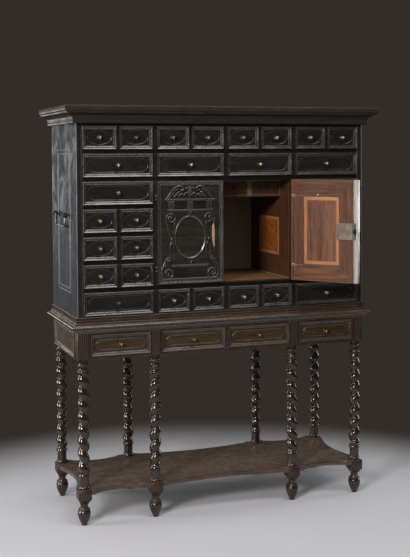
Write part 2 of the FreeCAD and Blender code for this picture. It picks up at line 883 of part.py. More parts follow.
def stand_frieze():
    """Rails, aprons, guides and runners between the heads of the legs."""
    front, back = -stand_proud, leg_rows()[1] + post_depth / 2
    low, high = leg_height, stand_top_z
    z0, z1 = low + bottom_rail, low + bottom_rail + stand_opening
    apron_back, made = back - apron_board, []
    inside = back - post_depth
    columns = leg_columns()
    for (x_left, head_left), (x_right, head_right) in zip(columns, columns[1:]):
        x0, x1 = x_left + head_left / 2, x_right - head_right / 2
        made.append(box(x0, x1, front, front + rail_depth, low, z0))
        made.append(box(x0, x1, front, front + rail_depth, z1, high))
        made.append(box(x0, x1, apron_back, back, low, high))
    half = stand_divider / 2
    made.append(box(-half, half, front, front + rail_depth, z0, z1))
    made.append(box(-half, half, front + rail_depth, inside, z0, z1))
    for x, head in columns[1:3]:
        guide = head / 2 - drawer_gap
        made.append(box(x - guide, x + guide, front + post_depth, inside, z0, z1))
    made.extend(stand_runners(front + rail_depth, inside, low, z0))
    made.extend(side_aprons(front + post_depth, inside, low, high))
    return made


def stand_runners(front, back, z0, z1):
    """Strips under the two edges of each drawer."""
    made = []
    for x0, x1, low, high in stand_openings():
        made.append(box(x0, x0 + runner_width, front, back, z0, z1))
        made.append(box(x1 - runner_width, x1, front, back, z0, z1))
    return made


def side_aprons(front, back, z0, z1):
    """The boards at the two ends of the stand, each with a frame of moulding."""
    made = []
    face = stand_half - front_recess
    for way in (-1, 1):
        inner, outer = way * (face - apron_board), way * face
        made.append(box(min(inner, outer), max(inner, outer), front, back, z0, z1))
        made.append(ring_moulding(
            (way, outer), front, back, z0, z1 - cove_height, apron_moulding_width,
            apron_moulding_height, frame_shares))
    return made


def hollow(start, end, depth, turn):
    """A long arc between two points on the shelf's edge, bowed inwards."""
    middle = (start + end) / 2 + turn * depth
    return Part.Arc(start, middle, end).toShape()


def shelf_front_edge(y, inward, z):
    """Edges along the front or back, from left to right, with an ear beside each block."""
    half = leg_block / 2
    columns = [x for x, head in leg_columns()]
    edges, here = [], Vec(columns[0], y, z)
    for number, (left, right) in enumerate(zip(columns, columns[1:])):
        depth = shelf_long_hollow if number == 1 else shelf_short_hollow
        step = Vec(0, inward * shelf_ear_step, 0)
        ear_left = Vec(left + half + shelf_ear, y, z)
        ear_right = Vec(right - half - shelf_ear, y, z)
        edges.append(Part.makeLine(here, ear_left))
        edges.append(Part.makeLine(ear_left, ear_left + step))
        edges.append(hollow(ear_left + step, ear_right + step, depth - shelf_ear_step, Vec(0, inward, 0)))
        edges.append(Part.makeLine(ear_right + step, ear_right))
        here = ear_right
    end = Vec(columns[-1], y, z)
    edges.append(Part.makeLine(here, end))
    return edges, end


def shelf():
    """The board between the blocks of the legs, hollowed on every side."""
    block, lower, twist_low, twist_high = leg_levels()
    z = lower - shelf_board
    half = leg_block / 2
    front, back = leg_rows()
    front_y, back_y = front - half, back + half
    near, near_end = shelf_front_edge(front_y, 1, z)
    far, far_end = shelf_front_edge(back_y, -1, z)
    side = leg_columns()[-1][0] + half - shelf_side_inset
    edges = near + far
    for way, x in ((1, near_end.x), (-1, -near_end.x)):
        places = [
            Vec(x, front_y, z), Vec(way * side, front_y, z),
            Vec(way * side, front + half + shelf_side_ear, z)]
        back_places = [
            Vec(way * side, back - half - shelf_side_ear, z), Vec(way * side, back_y, z),
            Vec(x, back_y, z)]
        edges += [Part.makeLine(a, b) for a, b in zip(places, places[1:])]
        edges.append(hollow(places[-1], back_places[0], shelf_side_hollow, Vec(-way, 0, 0)))
        edges += [Part.makeLine(a, b) for a, b in zip(back_places, back_places[1:])]
    wire = Part.Wire(Part.__sortEdges__(edges))
    board = Part.Face(wire).extrude(Vec(0, 0, shelf_board))
    for x, head in leg_columns():
        for y in (front, back):
            board = board.cut(box(x - half, x + half, y - half, y + half, z - overrun, lower + overrun))
    return [board]


def all_nodes():
    """Every named node, with the front of the case in the plane Y = 0."""
    nodes = case_drawers()
    nodes.update(stand_drawers())
    nodes.update(niche_drawers())
    nodes["case_sides"] = case_sides()
    inner = case_half - side_board
    nodes["case_top"] = [box(-inner, inner, 0, board_depth, rows_top_z, case_top_z)]
    nodes["case_bottom"] = [box(-inner, inner, 0, board_depth, floor_z - floor_board, floor_z)]
    nodes["case_back"] = [box(-inner, inner, board_depth, case_depth, case_z, case_top_z)]
    nodes["row_boards"] = row_boards()
    nodes["column_boards"] = column_boards()
    nodes["cornice"] = cornice()
    nodes["base_plinth"] = wrap_moulding(
        case_half, 0, case_depth, case_z, plinth_reach, plinth_height, plinth_shares)
    nodes["niche_lining"] = niche_lining()
    nodes["left_door"] = door(-1)
    nodes["right_door"] = opened(door(1))
    nodes["door_lock"] = opened(door_lock())
    nodes["hinge_pins"] = hinge_pins()
    nodes["left_handle"] = bail(-1)
    nodes["right_handle"] = bail(1)
    nodes["handle_mounts"] = handle_mounts()
    nodes["stand_top"] = stand_top()
    nodes["stand_frieze"] = stand_frieze()
    nodes["twist_legs"] = twist_legs()
    nodes["shelf"] = shelf()
    return nodes


def depth_shift(nodes):
    """How far back everything moves so that the origin is under the middle of the whole."""
    boxes = [shape.optimalBoundingBox(False, False) for shapes in nodes.values() for shape in shapes]
    low, high = min(b.YMin for b in boxes), max(b.YMax for b in boxes)
    return -(low + high) / 2


nodes = all_nodes()
shift = Vec(0, depth_shift(nodes), 0)
os.makedirs("parts", exist_ok=True)
for name, shapes in nodes.items():
    whole = Part.makeCompound(shapes) if len(shapes) > 1 else shapes[0]
    whole.translated(shift).exportStep("parts/" + name + ".step")
print("front of the case at y = %.4f" % shift.y)
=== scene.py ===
import json
import math

import bmesh
import bpy
from mathutils import Matrix, Vector


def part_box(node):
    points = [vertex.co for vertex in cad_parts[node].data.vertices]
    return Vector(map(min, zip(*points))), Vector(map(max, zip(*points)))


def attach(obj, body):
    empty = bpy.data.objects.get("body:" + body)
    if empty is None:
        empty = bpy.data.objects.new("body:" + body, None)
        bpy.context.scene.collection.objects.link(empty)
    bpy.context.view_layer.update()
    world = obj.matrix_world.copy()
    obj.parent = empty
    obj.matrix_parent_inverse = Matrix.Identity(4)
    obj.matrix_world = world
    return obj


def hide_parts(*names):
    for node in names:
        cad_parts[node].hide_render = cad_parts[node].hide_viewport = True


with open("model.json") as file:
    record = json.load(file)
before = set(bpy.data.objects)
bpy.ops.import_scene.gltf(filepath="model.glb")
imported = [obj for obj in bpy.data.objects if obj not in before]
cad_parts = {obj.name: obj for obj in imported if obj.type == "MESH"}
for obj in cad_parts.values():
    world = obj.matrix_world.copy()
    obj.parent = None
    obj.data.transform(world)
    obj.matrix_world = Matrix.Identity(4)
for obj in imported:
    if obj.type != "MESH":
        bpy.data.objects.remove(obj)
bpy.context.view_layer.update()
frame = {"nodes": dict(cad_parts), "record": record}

mm = 0.001
record = frame["record"]
bodyOf = {name: body for body, names in record["behaviour"]["bodies"].items() for name in names}
print("frame loaded")

# Places that every piece is worked out from
caseLow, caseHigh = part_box("case_sides")
liningLow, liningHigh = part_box("niche_lining")
friezeLow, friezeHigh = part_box("stand_frieze")
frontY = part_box("row_boards")[0].y
backY = caseHigh.y
caseHalf = caseHigh.x
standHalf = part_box("twist_legs")[1].x


def lengths(**values):
    # A piece's lengths, which are given in millimetres
    return {key: value * mm for key, value in values.items()}


# Mesh helpers: a shape collects points, faces and the slot of each face
def newShape():
    return {"points": [], "faces": [], "slots": []}


def addFaces(shape, points, faces, slots):
    base = len(shape["points"])
    shape["points"].extend(Vector(p) for p in points)
    shape["faces"].extend([base + k for k in face] for face in faces)
    shape["slots"].extend(slots)


def addRings(shape, rings, slot=0, looped=False):
    # Joins equal closed rings of points; the two ends are capped unless the path is a loop
    count, faces = len(rings[0]), []
    spans = len(rings) if looped else len(rings) - 1
    for k in range(spans):
        near, far = k * count, (k + 1) % len(rings) * count
        for j in range(count):
            after = (j + 1) % count
            faces.append((near + j, near + after, far + after, far + j))
    if not looped:
        faces.append(tuple(range(count)))
        faces.append(tuple(range((len(rings) - 1) * count, len(rings) * count)))
    addFaces(shape, [p for ring in rings for p in ring], faces, [slot] * len(faces))


def addBoard(shape, low, high, edge=0.0008, slot=0, sideSlots=None):
    # A board with small chamfers; sideSlots gives other slots by side, such as {"-y": 1}
    low, high = Vector(low), Vector(high)
    edge = min(edge, min(high - low) / 3)
    points, index = [], {}
    ends = [(a, b, c) for a in (0, 1) for b in (0, 1) for c in (0, 1)]
    for end in ends:
        corner = [high[k] if end[k] else low[k] for k in range(3)]
        for flat in range(3):
            p = [corner[k] if k == flat else corner[k] + (-edge if end[k] else edge) for k in range(3)]
            index[end, flat] = len(points)
            points.append(p)
    faces, slots = [], []
    for flat in range(3):
        u, v = (flat + 1) % 3, (flat + 2) % 3
        for side in (0, 1):
            loop = []
            for a, b in ((0, 0), (1, 0), (1, 1), (0, 1)):
                end = [0, 0, 0]
                end[flat], end[u], end[v] = side, a, b
                loop.append(index[tuple(end), flat])
            faces.append(loop)
            slots.append((sideSlots or {}).get("-+"[side] + "xyz"[flat], slot))
        for a in (0, 1):
            for b in (0, 1):
                first, second = [0, 0, 0], [0, 0, 0]
                first[u] = second[u] = a
                first[v] = second[v] = b
                second[flat] = 1
                first, second = tuple(first), tuple(second)
                faces.append([index[first, u], index[first, v], index[second, v], index[second, u]])
                slots.append(slot)
    for end in ends:
        faces.append([index[end, k] for k in range(3)])
        slots.append(slot)
    addFaces(shape, points, faces, slots)


def circle(count):
    return [2 * math.pi * k / count for k in range(count)]


def addLathe(shape, profile, toPoint, segments=28, slot=0):
    # profile is (radius, along) from one end of the axis to the other
    profile = [(max(radius, 1e-5), along) for radius, along in profile]
    addRings(shape, [
        [toPoint(radius * math.cos(t), radius * math.sin(t), along) for t in circle(segments)]
        for radius, along in profile], slot)


def polygonPath(corners, pitch):
    # Stations round a polygon: (across, up, inward across, inward up, phase), with mitred corners
    count, stations, inward = len(corners), [], []
    for k, here in enumerate(corners):
        a = Vector(here) - Vector(corners[k - 1])
        b = Vector(corners[(k + 1) % count]) - Vector(here)
        na, nb = Vector((-a.y, a.x)).normalized(), Vector((-b.y, b.x)).normalized()
        inward.append((na + nb) / (1 + na.dot(nb)))
    for k, here in enumerate(corners):
        after = (k + 1) % count
        start, end = Vector(here), Vector(corners[after])
        waves = max(1, round((end - start).length / pitch))
        steps = waves * 4
        for j in range(steps):
            share = j / steps
            spot, turn = start.lerp(end, share), inward[k].lerp(inward[after], share)
            stations.append((spot.x, spot.y, turn.x, turn.y, 2 * math.pi * waves * share))
    return stations


def rectangle(a0, a1, z0, z1):
    return [(a0, z0), (a1, z0), (a1, z1), (a0, z1)]


def cutRectangle(a0, a1, z0, z1, cut):
    return [(a0 + cut, z0), (a1 - cut, z0), (a1, z0 + cut), (a1, z1 - cut),
            (a1 - cut, z1), (a0 + cut, z1), (a0, z1 - cut), (a0, z0 + cut)]


def roundPath(a, z, halfAcross, halfUp, endAcross, pitch):
    # A loop with straight top and bottom and half-oval ends; endAcross is how far an end reaches
    outline, steps = [], 40
    for way in (1, -1):
        for k in range(steps + 1):
            turn = math.pi * (k / steps - 0.5)
            outline.append(Vector((
                a + way * (halfAcross - endAcross + endAcross * math.cos(turn)),
                z + way * halfUp * math.sin(turn))))
    lengths = [0]
    for here, after in zip(outline, outline[1:] + outline[:1]):
        lengths.append(lengths[-1] + (after - here).length)
    waves = max(8, round(lengths[-1] / pitch))
    stations, place = [], 0
    for k in range(waves * 4):
        along = lengths[-1] * k / (waves * 4)
        while lengths[place + 1] < along:
            place += 1
        here, after = outline[place], outline[(place + 1) % len(outline)]
        gap = max(lengths[place + 1] - lengths[place], 1e-9)
        spot = here.lerp(after, (along - lengths[place]) / gap)
        stations.append([spot.x, spot.y, 0, 0, 2 * math.pi * k / 4])
    for k, station in enumerate(stations):
        before, after = stations[k - 1], stations[(k + 1) % len(stations)]
        run = Vector((after[0] - before[0], after[1] - before[1])).normalized()
        station[2], station[3] = -run.y, run.x
    return stations


def addMoulding(shape, path, profile, toPoint, ripple=0.0, slot=0):
    # profile is (inward, proud, share of the ripple); the first and last points lie on the face
    rings = []
    for across, up, ia, iz, phase in path:
        wave = ripple * math.cos(phase)
        rings.append([toPoint(across + w * ia, up + w * iz, proud + wave * part)
                      for w, proud, part in profile])
    addRings(shape, rings, slot, looped=True)


def addRib(shape, centres, widths, heights, toPoint, slot=0, sides=8):
    # A rounded rib along an open line on a face
    rings = []
    for k, here in enumerate(centres):
        before, after = centres[max(k - 1, 0)], centres[min(k + 1, len(centres) - 1)]
        run = Vector((after[0] - before[0], after[1] - before[1]))
        run = run.normalized() if run.length > 1e-9 else Vector((1, 0))
        ring = []
        for j in range(sides + 1):
            turn = math.pi * j / sides
            out = widths[k] / 2 * math.cos(turn)
            ring.append(toPoint(here[0] - run.y * out, here[1] + run.x * out,
                                heights[k] * math.sin(turn) ** 0.75))
        rings.append(ring)
    addRings(shape, rings, slot)


def frontFace(y):
    return lambda a, z, proud: Vector((a, y - proud, z))


def sideFace(x, way):
    return lambda a, z, proud: Vector((x + way * proud, a, z))


def makeMesh(name, shape, looks, sharp=32):
    mesh = bpy.data.meshes.new(name)
    mesh.from_pydata(shape["points"], [], shape["faces"])
    mesh.polygons.foreach_set("material_index", shape["slots"])
    for finish in looks:
        mesh.materials.append(finishes[finish])
    work = bmesh.new()
    work.from_mesh(mesh)
    bmesh.ops.recalc_face_normals(work, faces=work.faces)
    work.to_mesh(mesh)
    work.free()
    mesh.polygons.foreach_set("use_smooth", [True] * len(mesh.polygons))
    mesh.set_sharp_from_angle(angle=math.radians(sharp))
    return mesh


def putPiece(name, mesh, node, replaces=True, place=None):
    # The piece rides the body of its CAD node, which it replaces or lies on
    piece = bpy.data.objects.new(name, mesh)
    bpy.context.scene.collection.objects.link(piece)
    if place is not None:
        piece.matrix_world = place
    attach(piece, bodyOf[node])
    if replaces:
        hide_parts(node)


# Node groups that the finishes share
def addNode(tree, kind, settings=None, inputs=None):
    made = tree.nodes.new(kind)
    for key, value in (settings or {}).items():
        setattr(made, key, value)
    for key, value in (inputs or {}).items():
        if isinstance(value, bpy.types.NodeSocket):
            tree.links.new(value, made.inputs[key])
        else:
            made.inputs[key].default_value = value
    return made


def newGroup(name, inputs, outputs):
    # inputs is {name: default}, outputs is a list of names; a tuple of three is a vector
    tree = bpy.data.node_groups.new(name, "ShaderNodeTree")
    for key, value in inputs.items():
        kind = "NodeSocketVector" if isinstance(value, tuple) else "NodeSocketFloat"
        tree.interface.new_socket(key, in_out="INPUT", socket_type=kind).default_value = value
    for key in outputs:
        tree.interface.new_socket(key, in_out="OUTPUT", socket_type="NodeSocketFloat")
    return tree, tree.nodes.new("NodeGroupInput").outputs, tree.nodes.new("NodeGroupOutput").inputs


def mathNode(tree, operation, first, second=0.0, clamp=False, third=0.0):
    made = addNode(tree, "ShaderNodeMath", {"operation": operation, "use_clamp": clamp},
                   {0: first, 1: second, 2: third})
    return made.outputs[0]


def times(tree, value, share):
    return mathNode(tree, "MULTIPLY", value, share)


def vectorNode(tree, operation, first, second):
    return addNode(tree, "ShaderNodeVectorMath", {"operation": operation}, {0: first, 1: second}).outputs


def objectSpace(tree):
    return addNode(tree, "ShaderNodeTexCoord").outputs["Object"]


def ramp(tree, value, low, high, toLow=0.0, toHigh=1.0):
    made = addNode(tree, "ShaderNodeMapRange", {"interpolation_type": "SMOOTHSTEP"}, {
        "Value": value, "From Min": low, "From Max": high, "To Min": toLow, "To Max": toHigh})
    return made.outputs["Result"]


def noiseNode(tree, vector, scale, detail=4.0, rough=0.55, distortion=0.0):
    made = addNode(tree, "ShaderNodeTexNoise", None, {
        "Vector": vector, "Scale": scale, "Detail": detail, "Roughness": rough,
        "Distortion": distortion})
    return made.outputs["Fac"]


def buildGrain():
    # Long streaks, broad figure and short pores; Squeeze is small along the grain
    tree, given, out = newGroup(
        "woodGrain", {"Squeeze": (0.06, 1.0, 1.0), "Lines": 260.0, "Wander": 0.02},
        ["Streak", "Figure", "Pores"])
    place = objectSpace(tree)
    drift = addNode(tree, "ShaderNodeTexNoise", None, {"Vector": place, "Scale": 5.0, "Detail": 2.0})
    wander = addNode(tree, "ShaderNodeCombineXYZ", None, {axis: given["Wander"] for axis in "XYZ"})
    sway = vectorNode(tree, "MULTIPLY", drift.outputs["Color"], wander.outputs[0])[0]
    bent = vectorNode(tree, "ADD", place, sway)[0]
    pressed = vectorNode(tree, "MULTIPLY", bent, given["Squeeze"])[0]
    streak = noiseNode(tree, pressed, given["Lines"], 5.0, 0.65)
    figure = noiseNode(tree, pressed, times(tree, given["Lines"], 0.12), 3.0, 0.5, 0.6)
    pores = noiseNode(tree, pressed, times(tree, given["Lines"], 3.2), 2.0, 0.5)
    for socket, value, low, high in (
            ("Streak", streak, 0.30, 0.70), ("Figure", figure, 0.34, 0.66),
            ("Pores", pores, 0.60, 0.70)):
        tree.links.new(ramp(tree, value, low, high), out[socket])
    return tree


def buildWear():
    # Where edges are rubbed: the bevelled normal leaves the true one
    tree, given, out = newGroup(
        "edgeWear", {"Reach": 0.0016, "Patches": 26.0, "Cover": 0.5}, ["Rubbed", "Patchy"])
    place = objectSpace(tree)
    rounded = addNode(tree, "ShaderNodeBevel", {"samples": 4}, {"Radius": given["Reach"]}).outputs[0]
    flat = addNode(tree, "ShaderNodeNewGeometry").outputs["Normal"]
    alike = vectorNode(tree, "DOT_PRODUCT", rounded, flat)["Value"]
    edge = ramp(tree, mathNode(tree, "SUBTRACT", 1.0, alike), 0.01, 0.22)
    patch = ramp(tree, noiseNode(tree, place, given["Patches"], 5.0, 0.6), 0.40, 0.62)
    lasting = mathNode(tree, "ADD", times(tree, patch, 0.75), given["Cover"], True)
    tree.links.new(times(tree, edge, lasting), out["Rubbed"])
    tree.links.new(patch, out["Patchy"])
    return tree


def buildHandling():
    # Smears that dull the polish, fine scratches, and dust on what faces up
    tree, given, out = newGroup(
        "handling", {"Smears": 9.0, "Dust": 0.4}, ["Smear", "Scratch", "Dusty"])
    place = objectSpace(tree)
    smear = ramp(tree, noiseNode(tree, place, given["Smears"], 6.0, 0.6, 0.8), 0.35, 0.68)
    thin = vectorNode(tree, "MULTIPLY", place, (1.0, 1.0, 0.12))[0]
    scratch = ramp(tree, noiseNode(tree, thin, 420.0, 2.0, 0.7), 0.63, 0.72)
    normal = addNode(tree, "ShaderNodeNewGeometry").outputs["Normal"]
    up = ramp(tree, addNode(tree, "ShaderNodeSeparateXYZ", None, {0: normal}).outputs["Z"], 0.45, 0.98)
    lies = ramp(tree, noiseNode(tree, place, 38.0, 5.0, 0.7), 0.32, 0.72, 0.35, 1.0)
    dusty = times(tree, times(tree, up, lies), given["Dust"])
    for socket, value in (("Smear", smear), ("Scratch", scratch), ("Dusty", dusty)):
        tree.links.new(value, out[socket])
    return tree


def buildBurl():
    # Knotty swirls with dark eyes, as on a root veneer
    tree, given, out = newGroup("burl", {"Size": 34.0}, ["Swirl", "Eyes"])
    place = objectSpace(tree)
    warp = addNode(tree, "ShaderNodeTexNoise", None, {"Vector": place, "Scale": 14.0, "Detail": 4.0})
    bent = addNode(tree, "ShaderNodeVectorMath", {"operation": "MULTIPLY_ADD"}, {
        0: warp.outputs["Color"], 1: (0.09, 0.09, 0.09), 2: place}).outputs[0]
    swirl = noiseNode(tree, bent, given["Size"], 7.0, 0.62, 1.4)
    cells = addNode(tree, "ShaderNodeTexVoronoi", None, {
        "Vector": bent, "Scale": times(tree, given["Size"], 1.7)})
    tree.links.new(ramp(tree, swirl, 0.32, 0.68), out["Swirl"])
    tree.links.new(ramp(tree, cells.outputs["Distance"], 0.26, 0.05), out["Eyes"])
    return tree


groups = {"grain": buildGrain(), "wear": buildWear(), "handling": buildHandling(), "burl": buildBurl()}


def useGroup(tree, key, **inputs):
    made = addNode(tree, "ShaderNodeGroup", {"node_tree": groups[key]}, inputs)
    return made.outputs


def tone(red, green, blue):
    # A colour as seen on a screen, 0 to 255, in the linear values that shaders take
    values = [c / 255 for c in (red, green, blue)]
    return tuple(c / 12.92 if c <= 0.04045 else ((c + 0.055) / 1.055) ** 2.4 for c in values) + (1.0,)


def blendColour(tree, share, first, second):
    made = addNode(tree, "ShaderNodeMix", {"data_type": "RGBA"})
    for socket, value in ((made.inputs[0], share), (made.inputs[6], first), (made.inputs[7], second)):
        if isinstance(value, bpy.types.NodeSocket):
            tree.links.new(value, socket)
        else:
            socket.default_value = value
    return made.outputs[2]


def newFinish(name, **sockets):
    finish = bpy.data.materials.new(name)
    finish.use_nodes = True
    tree = finish.node_tree
    shader = tree.nodes["Principled BSDF"]
    for key, value in sockets.items():
        shader.inputs[key.replace("_", " ")].default_value = value
    return finish, tree, shader


def bumpInto(tree, shader, height, strength, distance):
    bump = addNode(tree, "ShaderNodeBump", None, {
        "Strength": strength, "Distance": distance, "Height": height})
    tree.links.new(bump.outputs[0], shader.inputs["Normal"])


squeezeAlong = {"x": (0.05, 1.0, 1.0), "y": (1.0, 0.05, 1.0), "z": (1.0, 1.0, 0.05)}

woods = {
    # Colours dark, light and worn; way of the grain; roughness; wear; lines in the grain; dust;
    # shine; relief of the grain; how much smears dull it
    "ebonyField": ((24, 21, 18), (40, 36, 31), (96, 86, 72), "x", 0.3, 0.1, 300, 0.25, 0.45, 0.15),
    "ebonyMoulding": ((30, 27, 23), (58, 53, 46), (92, 88, 78), "x", 0.17, 0.15, 300, 0.5, 0.95, 0.15),
    "ebonyCase": ((22, 20, 17), (38, 35, 30), (96, 90, 78), "x", 0.33, 0.2, 260, 0.4, 0.5, 0.25),
    # Near black and darker than the case: painted shade in the gaps between the drawer rows, under the
    # drawers' frames
    "ebonyGap": ((11, 10, 8), (24, 21, 18), (70, 64, 56), "x", 0.36, 0.1, 260, 0.1, 0.35, 0.2),
    # Blue-grey and lighter than the other ebonised woods: the wood's own colour with a painted sheen on the
    # case sides
    "ebonySide": ((30, 31, 34), (60, 62, 67), (112, 112, 114), "z", 0.42, 0.3, 200, 0.3, 0.3, 0.35, 0.42),
    "ebonyCornice": ((40, 34, 29), (60, 52, 45), (120, 116, 104), "x", 0.32, 0.25, 240, 0.5, 0.35, 0.25),
    "standMoulding": ((40, 31, 22), (74, 60, 45), (120, 106, 88), "x", 0.24, 0.1, 260, 0.4, 0.9, 0.25),
    "plinthWood": ((38, 26, 18), (66, 48, 36), (150, 132, 112), "x", 0.26, 0.2, 260, 0.3, 0.5, 0.2),
    "noseWood": ((44, 33, 26), (80, 64, 52), (190, 176, 160), "x", 0.2, 0.3, 260, 0.3, 0.95, 0.2),
    "standField": ((44, 33, 18), (80, 62, 34), (150, 128, 92), "x", 0.34, 0.1, 220, 0.2, 0.45, 0.2),
    "legWood": ((30, 21, 14), (59, 44, 32), (124, 102, 80), "z", 0.12, 0.15, 240, 0.3, 0.65, 0.2, 0.08),
    "blockWood": ((40, 27, 20), (68, 48, 36), (130, 112, 92), "z", 0.34, 0.25, 240, 0.3, 0.5, 0.25),
    "shelfWood": ((48, 32, 26), (92, 66, 50), (160, 130, 92), "x", 0.22, 0.3, 110, 0.35, 0.8, 0.35),
    "doorBorder": ((66, 36, 18), (120, 74, 44), (176, 150, 120), "z", 0.38, 0.1, 110, 0.05, 0.4, 0.12, 0.4),
    "fruitwoodLine": ((152, 92, 54), (196, 134, 88), (226, 176, 130), "z", 0.36, 0.1, 300, 0.05, 0.4, 0.08),
    # Pale colours on the niche's back and top boards: painted fill light for the deep niche, far paler than
    # the dark wood itself
    "nicheDark": ((126, 112, 92), (150, 134, 112), (90, 74, 54), "x", 0.42, 0.05, 200, 0.1, 0.35, 0.15),
    "nicheRed": ((66, 38, 22), (104, 66, 40), (130, 96, 62), "z", 0.38, 0.05, 240, 0.05, 0.4, 0.12),
    "nicheFloor": ((106, 68, 32), (150, 104, 56), (150, 122, 92), "x", 0.34, 0.1, 180, 0.2, 0.45, 0.12),
    "oak": ((112, 82, 50), (164, 128, 84), (180, 150, 110), "y", 0.58, 0.1, 190, 0.15, 0.35, 0.4),
    "oakBack": ((70, 52, 34), (112, 86, 58), (140, 112, 82), "z", 0.66, 0.1, 120, 0.1, 0.3, 0.5),
    "wornEdge": ((142, 134, 120), (218, 212, 200), (232, 228, 218), "z", 0.46, 0.3, 160, 0.0, 0.4, 0.4),
    "ebonyCarving": ((38, 35, 31), (70, 65, 58), (158, 152, 140), "z", 0.22, 0.6, 300, 0.5, 0.95, 0.12),
    "nicheBead": ((98, 74, 58), (140, 112, 94), (170, 146, 128), "x", 0.36, 0.1, 240, 0.05, 0.45, 0.12),
    "doorPanel": ((74, 38, 20), (160, 104, 70), (170, 130, 100), "z", 0.36, 0.1, 60, 0.0, 0.45, 0.12, 0.42),
    "nicheEdge": ((120, 96, 78), (168, 142, 120), (190, 166, 142), "z", 0.36, 0.1, 240, 0.05, 0.4, 0.12),
    # Lightened as well: painted fill light on the line round the niche's back panel
    "nicheDarkLine": ((130, 98, 72), (170, 134, 100), (110, 84, 64), "x", 0.42, 0.05, 240, 0.05, 0.35, 0.1),
    # Lighter and bluer than the side: a painted highlight on the side beads and the rounded corners
    "sideBead": ((58, 60, 64), (96, 98, 104), (170, 170, 174), "z", 0.22, 0.5, 240, 0.3, 0.7, 0.2),
    "edgeEbony": ((22, 20, 16), (40, 36, 30), (84, 78, 68), "z", 0.33, 0.2, 260, 0.3, 0.5, 0.25),
    "apronWood": ((54, 43, 36), (82, 69, 59), (170, 156, 140), "y", 0.34, 0.2, 240, 0.2, 0.55, 0.2),
}
for name in ("doorBorder", "fruitwoodLine"):
    woods[name + "Across"] = woods[name][:3] + ("x",) + woods[name][4:]


# How much the parts of the shared effects count in every wood
woodLook = {
    "figure": 0.55, "pores": 0.5, "poreTone": 0.6, "rubbed": 0.8, "dustColour": (132, 124, 112),
    "scratchRough": 0.12, "dustRough": 0.4, "streakHeight": 0.5, "relief": 0.4 * mm,
}


def woodFinish(name, dark, light, worn, along, rough, cover, lines, dust, shine, bump, smear=0.16):
    look = woodLook
    finish, tree, shader = newFinish(name, Specular_IOR_Level=shine)
    grain = useGroup(tree, "grain", Squeeze=squeezeAlong[along], Lines=lines)
    wear = useGroup(tree, "wear", Cover=cover)
    hands = useGroup(tree, "handling", Dust=dust)
    body = blendColour(tree, grain["Streak"], tone(*dark), tone(*light))
    for value, share, colour in (
            (grain["Figure"], look["figure"], dark),
            (grain["Pores"], look["pores"], [c * look["poreTone"] for c in dark]),
            (wear["Rubbed"], look["rubbed"], worn)):
        body = blendColour(tree, times(tree, value, share), body, tone(*colour))
    body = blendColour(tree, hands["Dusty"], body, tone(*look["dustColour"]))
    tree.links.new(body, shader.inputs["Base Color"])
    dull = mathNode(tree, "MULTIPLY_ADD", hands["Smear"], smear, third=rough)
    for key, share in (("Scratch", look["scratchRough"]), ("Dusty", look["dustRough"])):
        dull = mathNode(tree, "ADD", dull, times(tree, hands[key], share))
    tree.links.new(dull, shader.inputs["Roughness"])
    relief = mathNode(tree, "SUBTRACT", times(tree, grain["Streak"], look["streakHeight"]), grain["Pores"])
    bumpInto(tree, shader, relief, bump, look["relief"])
    return finish


def burlFinish(name, dark, light, eyes, rough, size):
    finish, tree, shader = newFinish(name, Specular_IOR_Level=0.45)
    burl = useGroup(tree, "burl", Size=size)
    hands = useGroup(tree, "handling", Dust=0.0)
    body = blendColour(tree, burl["Swirl"], tone(*dark), tone(*light))
    body = blendColour(tree, times(tree, burl["Eyes"], 0.6), body, tone(*eyes))
    tree.links.new(body, shader.inputs["Base Color"])
    dull = mathNode(tree, "MULTIPLY_ADD", hands["Smear"], 0.14, third=rough)
    tree.links.new(dull, shader.inputs["Roughness"])
    bumpInto(tree, shader, burl["Swirl"], 0.15, 0.0003)
    return finish


def metalFinish(name, bright, tarnish, rough, metallic, patches, cover, pits):
    finish, tree, shader = newFinish(name, Metallic=metallic)
    wear = useGroup(tree, "wear", Reach=0.0008, Patches=patches, Cover=cover)
    hands = useGroup(tree, "handling", Smears=patches, Dust=0.15)
    body = blendColour(tree, hands["Smear"], tone(*bright), tone(*tarnish))
    body = blendColour(tree, wear["Rubbed"], body, tone(*bright))
    tree.links.new(body, shader.inputs["Base Color"])
    dull = mathNode(tree, "MULTIPLY_ADD", hands["Smear"], 0.22, third=rough)
    tree.links.new(dull, shader.inputs["Roughness"])
    bumpInto(tree, shader, noiseNode(tree, objectSpace(tree), 700.0, 4.0), pits, 0.0005)
    return finish


burls = {
    # Colours dark, light and of the eyes; roughness; size of the figure
    "bareChip": ((110, 66, 44), (204, 180, 150), (58, 34, 24), 0.6, 170.0),
    "wallBurl": ((112, 58, 22), (172, 98, 42), (84, 42, 18), 0.38, 50.0),
    "drawerBurl": ((52, 32, 22), (96, 62, 44), (36, 20, 14), 0.34, 60.0),
}
metals = {
    # Colours bright and tarnished; roughness; metallic; size of the patches; wear; pits
    "brass": ((208, 203, 190), (116, 108, 92), 0.28, 1.0, 60.0, 0.3, 0.15),
    "standBrass": ((166, 146, 108), (96, 80, 54), 0.30, 1.0, 60.0, 0.3, 0.15),
    "roseBrass": ((132, 110, 72), (66, 54, 36), 0.36, 0.95, 60.0, 0.2, 0.25),
    "wornIron": ((150, 148, 146), (70, 68, 66), 0.30, 0.9, 40.0, 0.35, 0.3),
    "iron": ((78, 78, 80), (34, 32, 31), 0.42, 0.85, 40.0, 0.2, 0.5),
    "brightWire": ((214, 208, 200), (150, 144, 138), 0.30, 0.9, 60.0, 0.4, 0.2),
    "steel": ((140, 124, 112), (112, 97, 87), 0.44, 0.7, 18.0, 0.15, 0.3),
}
finishes = {}
for table, make in ((woods, woodFinish), (burls, burlFinish), (metals, metalFinish)):
    finishes.update({name: make(name, *values) for name, values in table.items()})
print("finishes made:", len(finishes))


softEdge = 0.8 * mm


